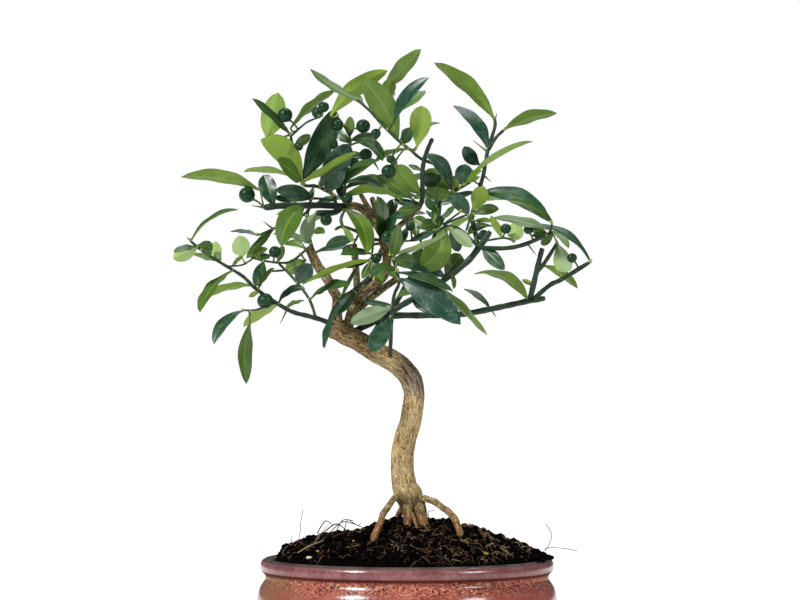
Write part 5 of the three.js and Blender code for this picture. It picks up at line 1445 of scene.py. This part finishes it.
def leaf_material(name, underside):
    """Waxy green with a pale midrib, slanting veins, a thin margin and a whitish mottling, partly dust and
    partly painted sheen.
    """
    look = Look(name)
    along, across, tone, seed = look.point_look()
    place = look.place()
    cloud = look.noise(place, 90.0, 4.0)
    fine = look.noise(place, 900.0)
    level = look.plus(look.plus(tone, look.sway(cloud, 0.22)), look.sway(seed, 0.1))
    stops = [(at, srgb(*colour)) for at, colour in LEAF_COLOURS]
    colour = look.ramp(level, stops)
    pale = look.ramp(look.plus(level, 0.35), stops)
    span = look.math("ABSOLUTE", look.sway(across, 2.0))
    rib = look.fall(span, 0.03, 0.11)
    colour = look.mix(look.times(rib, 0.4), colour, pale)
    slant = look.minus(look.times(along, 9.0), look.times(span, 1.5))
    stripe = look.math("ABSOLUTE", look.minus(look.math("FRACT", slant), 0.5))
    vein = look.fall(stripe, 0.0, 0.09)
    colour = look.mix(look.times(vein, 0.1 if underside else 0.15), colour, pale)
    rim = look.ramp(level, [(0.1, srgb(96, 140, 104)), (0.4, srgb(66, 92, 40)), (0.8, srgb(82, 96, 44))])
    margin = look.rise(span, 0.93, 1.0)
    colour = look.mix(look.times(margin, 0.7), colour, rim)
    if underside:
        colour = look.mix(0.1, colour, srgb(138, 158, 124))
    # Whitish mottling, strongest on the dark leaves: partly dust, partly a painted sheen
    mottle = look.noise(place, 240.0, 6.0, 0.7)
    dust_and_painted_sheen = look.times(look.rise(mottle, 0.5, 0.68, 0.4), look.grey(level, 0.05, 0.4, 1.0, 0.15))
    colour = look.mix(dust_and_painted_sheen, colour, srgb(110, 140, 124))
    speck = look.grey(fine, 0.3, 0.7, 0.9, 1.05)
    dimmed = look.add("ShaderNodeCombineColor", {0: speck, 1: speck, 2: speck}).outputs[0]
    colour = look.mix(1.0, colour, dimmed, "MULTIPLY")
    if underside:
        look.surface(Base_Color=colour, Roughness=0.56, Specular_IOR_Level=0.3)
    else:
        look.surface(Base_Color=colour, Roughness=look.grey(level, 0.0, 0.9, 0.36, 0.52))
        look.surface(Specular_IOR_Level=0.45, Coat_Weight=0.1, Coat_Roughness=0.25)
    look.bump(look.plus(look.times(vein, -0.5), look.times(fine, 0.5)), 0.2, 0.00012)
    return look.material


def stem_material():
    """Dark to yellow green stems with pale dots."""
    look = Look("green_stem")
    tone = look.point_look()[2]
    place = look.place()
    cloud = look.noise(place, 160.0, 4.0)
    streak = look.noise(place, 700.0)
    colour = look.ramp(look.plus(tone, look.sway(cloud, 0.3)), [
        (0.0, srgb(60, 56, 34)),
        (0.22, srgb(22, 46, 28)),
        (0.45, srgb(36, 72, 30)),
        (0.65, srgb(110, 132, 58)),
        (0.85, srgb(150, 160, 84)),
        (1.0, srgb(176, 188, 64)),
    ])
    colour = look.mix(look.rise(streak, 0.62, 0.72, 0.4), colour, srgb(140, 140, 100))
    look.surface(Base_Color=colour, Roughness=0.5, Specular_IOR_Level=0.4)
    look.bump(streak, 0.4, 0.0003)
    return look.material


def fruit_material():
    """Dark green rind with fine pores."""
    look = Look("green_fruit")
    place = look.place()
    cloud = look.noise(place, 150.0)
    pores = look.add("ShaderNodeTexVoronoi", {"Vector": place, "Scale": 1500.0}).outputs["Distance"]
    colour = look.ramp(cloud, [(0.3, srgb(10, 42, 25)), (0.7, srgb(22, 64, 33))])
    colour = look.mix(look.fall(pores, 0.12, 0.3, 0.25), colour, srgb(44, 84, 48))
    look.surface(Base_Color=colour, Roughness=0.38, Specular_IOR_Level=0.22)
    look.surface(Coat_Weight=0.06, Coat_Roughness=0.2)
    look.bump(pores, 0.3, 0.0002)
    return look.material


def bark_material():
    """The bark's own tint with furrows, painted highlights on ridges and crack edges that are partly pale
    fresh bark, flakes, cracks, deep grooves and wrinkles.
    """
    look = Look("bark")
    place = look.add("ShaderNodeAttribute", attribute_name="bark_place").outputs["Vector"]
    attribute = look.add("ShaderNodeAttribute", attribute_name="bark_tint")
    tint, age = attribute.outputs["Color"], attribute.outputs["Alpha"]
    drawn = look.stretched(place, (1.0, 1.0, 0.24))
    furrow = look.noise(drawn, 0.85, 6.0, 0.6)
    crack = look.noise(drawn, 2.6, 4.0, 0.6)
    plates = look.add("ShaderNodeTexVoronoi", {"Vector": drawn, "Scale": 0.9}, feature="DISTANCE_TO_EDGE")
    flake = plates.outputs["Distance"]
    deep = look.noise(look.stretched(place, (1.0, 1.0, 0.11)), 1.15)
    wrinkle = look.noise(look.stretched(place, (0.5, 0.5, 1.6)), 0.42, 5.0, 0.7)
    # Share of the cream coats, pale fresh bark and painted highlight, less on the grey aged bark
    fresh_bark_and_highlight = look.minus(1.0, look.times(age, 0.7))
    colour = tint
    for share, coat in (
        (look.fall(furrow, 0.36, 0.48, 0.75), srgb(84, 60, 32)),
        # Painted highlights: cream on the raised furrow ridges and crack edges, partly pale fresh bark
        (look.times(look.rise(furrow, 0.53, 0.61, 0.7), fresh_bark_and_highlight), srgb(228, 204, 150)),
        (look.times(look.fall(flake, 0.0, 0.07, 0.55), look.grey(furrow, 0.45, 0.6, 1.0, 0.2)),
         srgb(74, 52, 30)),
        (look.fall(crack, 0.39, 0.44, 0.9), srgb(52, 34, 20)),
        (look.times(look.rise(crack, 0.55, 0.6, 0.8), fresh_bark_and_highlight), srgb(238, 218, 170)),
        (look.times(look.fall(deep, 0.42, 0.5, 0.9), age), srgb(44, 34, 34)),
        (look.fall(wrinkle, 0.3, 0.35, 0.75), srgb(60, 38, 24)),
    ):
        colour = look.mix(share, colour, coat)
    look.surface(Base_Color=colour, Roughness=0.86, Specular_IOR_Level=0.25)
    relief = look.plus(look.plus(furrow, look.times(crack, 0.5)), look.rise(flake, 0.0, 0.12, 0.3))
    look.bump(relief, 0.9, 0.002)
    return look.material


def soil_materials():
    """Materials of the soil itself, its crumbs, its fibres and its light grains."""
    materials = []
    for name, stops in (
        ("soil_peat", [(0.35, srgb(1, 1, 1)), (0.6, srgb(8, 7, 6)), (0.8, srgb(36, 25, 19))]),
        ("soil_crumb", [(0.35, srgb(1, 1, 1)), (0.6, srgb(8, 6, 6)), (0.8, srgb(42, 30, 22))]),
    ):
        look = Look(name)
        grain = look.noise(look.place(), 420.0, 8.0, 0.7)
        look.surface(Base_Color=look.ramp(grain, stops), Roughness=1.0, Specular_IOR_Level=0.02)
        look.bump(grain, 0.9, 0.0012)
        materials.append(look.material)
    for name, stops, rough in (
        ("soil_fibre", [(0.05, srgb(48, 32, 24)), (0.18, srgb(88, 50, 36)), (0.34, srgb(118, 88, 52)),
                        (0.65, srgb(154, 134, 90)), (1.0, srgb(190, 172, 126))], 0.7),
        ("soil_grain", [(0.25, srgb(96, 74, 40)), (0.5, srgb(150, 124, 66)), (0.75, srgb(176, 168, 130)),
                        (1.0, srgb(214, 214, 170))], 0.8),
    ):
        look = Look(name)
        tone = look.point_look()[2]
        grain = look.noise(look.place(), 600.0, 4.0, 0.6)
        level = look.plus(tone, look.sway(grain, 0.35))
        look.surface(Base_Color=look.ramp(level, stops), Roughness=rough, Specular_IOR_Level=0.3)
        look.bump(grain, 0.6, 0.0005)
        materials.append(look.material)
    return materials


def pot_material():
    """Salmon-red glaze, speckled under the neck, with painted shade under the lip, a mauve lip and a
    grey-brown top edge that is partly painted shade.
    """
    look = Look("pot_glaze")
    place = look.place()
    x, y, z = look.add("ShaderNodeSeparateXYZ", {0: place}).outputs
    wide = look.noise(place, 22.0, 4.0, 0.55)
    cloud = look.noise(place, 75.0, 5.0, 0.6)
    speck = look.noise(place, 620.0, 3.0, 0.55)
    spots = look.noise(look.stretched(place, (1.0, 1.0, 1.7)), 560.0, 3.0, 0.6)
    height = look.plus(z, look.sway(cloud, 3 * MM))

    def above(level, low, high):
        return look.rise(level, low * MM, high * MM)

    def below(level, low, high, top=1.0):
        return look.fall(level, low * MM, high * MM, top)

    body = look.mix(look.rise(wide, 0.35, 0.65), srgb(122, 54, 48), srgb(148, 76, 68))
    body = look.mix(look.rise(cloud, 0.5, 0.75, 0.45), body, srgb(182, 110, 92))
    band = look.times(above(height, 56, 62), below(height, 66.4, 68.2))
    body = look.mix(look.times(band, look.rise(spots, 0.51, 0.6, 0.75)), body, srgb(208, 150, 116))
    speckled = look.plus(look.times(band, 0.85), 0.15)
    body = look.mix(look.times(speckled, look.fall(speck, 0.39, 0.44)), body, srgb(40, 22, 20))
    left_side = look.rise(x, -58 * MM, -78 * MM, 0.75)
    body = look.mix(look.times(left_side, look.grey(cloud, 0.3, 0.6, 0.5, 1.0)), body, srgb(122, 92, 62))
    # Painted shade: a dark red-brown line under the lip, where the lip's shadow falls on the neck
    groove = look.times(above(z, 66.2, 67.6), below(z, 68.4, 69.2))
    body = look.mix(look.times(groove, 0.85), body, srgb(56, 22, 20))
    lip = look.mix(look.rise(cloud, 0.4, 0.65, 0.8), srgb(108, 62, 65), srgb(142, 94, 94))
    lip = look.mix(look.fall(speck, 0.39, 0.44, 0.6), lip, srgb(84, 44, 48))
    colour = look.mix(above(z, 68.4, 70), body, lip)
    # Grey-brown top edge and inner wall: partly the glaze's own edge colour, partly painted shade along
    # the rim's inner edge, made darker and wider for it
    edge = look.mix(look.rise(cloud, 0.4, 0.6), srgb(44, 36, 34), srgb(82, 68, 62))
    colour = look.mix(above(height, 74.4, 75.2), colour, edge)
    radius = look.math("SQRT", look.plus(look.times(x, x), look.times(y, y)))
    inside = look.times(below(radius, 82.6, 83.4), above(z, 50, 60))
    colour = look.mix(inside, colour, edge)
    foot = below(z, 4.6, 5.8)
    colour = look.mix(foot, colour, srgb(120, 78, 58))
    neck = look.times(above(z, 64, 66), below(z, 68.2, 69.8))
    top_edge = look.times(above(height, 74.2, 75.1), 0.7)
    dull = look.math("MAXIMUM", look.math("MAXIMUM", foot, neck), top_edge)
    look.surface(Base_Color=colour, Roughness=look.grey(dull, 0.0, 1.0, 0.2, 0.8))
    look.surface(Specular_IOR_Level=look.grey(dull, 0.0, 1.0, 0.4, 0.05))
    look.surface(Coat_Weight=look.fall(dull, 0.0, 1.0, 0.3), Coat_Roughness=0.1)
    look.bump(look.plus(look.times(cloud, 0.6), look.times(spots, 0.4)), 0.35, 0.0006)
    return look.material


def screen_material():
    look = Look("screen_plastic")
    grain = look.noise(look.place(), 800.0)
    look.surface(Base_Color=look.ramp(grain, [(0.3, srgb(30, 40, 34)), (0.7, srgb(48, 60, 50))]))
    look.surface(Roughness=0.6)
    look.bump(grain, 0.2, 0.0002)
    return look.material


def floor_material():
    look = Look("pale_floor")
    grain = look.noise(look.place(), 3.0)
    colour = look.ramp(grain, [(0.3, (0.90, 0.90, 0.90, 1)), (0.7, (0.93, 0.93, 0.93, 1))])
    look.surface(Base_Color=colour, Roughness=0.9, Specular_IOR_Level=0.1)
    return look.material


# Camera, floor and light

def placed(name, data, location):
    """An object in the scene."""
    thing = bpy.data.objects.new(name, data)
    thing.location = location
    bpy.context.scene.collection.objects.link(thing)
    return thing


def make_camera():
    camera = bpy.data.cameras.new("camera")
    camera.sensor_width = SENSOR_WIDTH
    camera.lens = SENSOR_WIDTH * EYE_DISTANCE / (PHOTO_PIXELS * PIXEL_SIZE)
    camera.clip_start = 0.1
    camera.clip_end = 100
    eye = placed("camera", camera, (EYE_X * MM, -EYE_DISTANCE * MM, EYE_Z * MM))
    eye.rotation_euler = (math.radians(90), 0, 0)
    bpy.context.scene.camera = eye


def make_stage():
    """Pale floor, white studio world and soft suns, with the camera of the photograph."""
    mesh = bpy.data.meshes.new("floor")
    corners = [(x * FLOOR_REACH, y * FLOOR_REACH, 0) for x, y in ((-1, -1), (1, -1), (1, 1), (-1, 1))]
    mesh.from_pydata(corners, [], [[0, 1, 2, 3]])
    mesh.materials.append(floor_material())
    floor = placed("floor", mesh, (0, 0, 0))
    make_camera()
    world = bpy.data.worlds.new("studio")
    world.use_nodes = True
    nodes = world.node_tree.nodes
    background = nodes["Background"]
    background.inputs[0].default_value = (1.0, 1.0, 1.0, 1.0)
    path = nodes.new("ShaderNodeLightPath")
    level = nodes.new("ShaderNodeMapRange")
    level.inputs[3].default_value = WORLD_LIGHT
    level.inputs[4].default_value = WORLD_SEEN
    world.node_tree.links.new(path.outputs["Is Camera Ray"], level.inputs[0])
    world.node_tree.links.new(level.outputs[0], background.inputs[1])
    bpy.context.scene.world = world
    for name, place, softness, strength in SUNS:
        light = bpy.data.lights.new(name, "SUN")
        light.angle = math.radians(softness)
        light.energy = strength
        lamp = placed(name, light, place)
        lamp.rotation_euler = (-Vector(place)).to_track_quat("-Z", "Y").to_euler()
    bpy.context.scene.view_settings.view_transform = "Standard"


def build():
    make_stage()
    greens = [
        leaf_material("leaf_top", False),
        leaf_material("leaf_under", True),
        stem_material(),
        fruit_material(),
    ]
    for name, spray in SPRAYS.items():
        stems = joined_stems(spray["stems"])
        make_spray(name, stems, greens, spray["leaves"], spray["fruits"], spray["thorns"])
    for name, (row, seed) in BACK_SPRAYS.items():
        stem = Stem(*row)
        make_spray(name, [stem], greens, back_leaves(stem, seed))
    make_trunk(bark_material())
    peat, crumb, fibre, grain = soil_materials()
    make_soil(peat, [crumb, fibre, grain])
    make_pot(pot_material())
    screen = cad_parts["drain_screen"]
    screen.data.materials.clear()
    screen.data.materials.append(screen_material())


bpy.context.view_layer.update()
build()
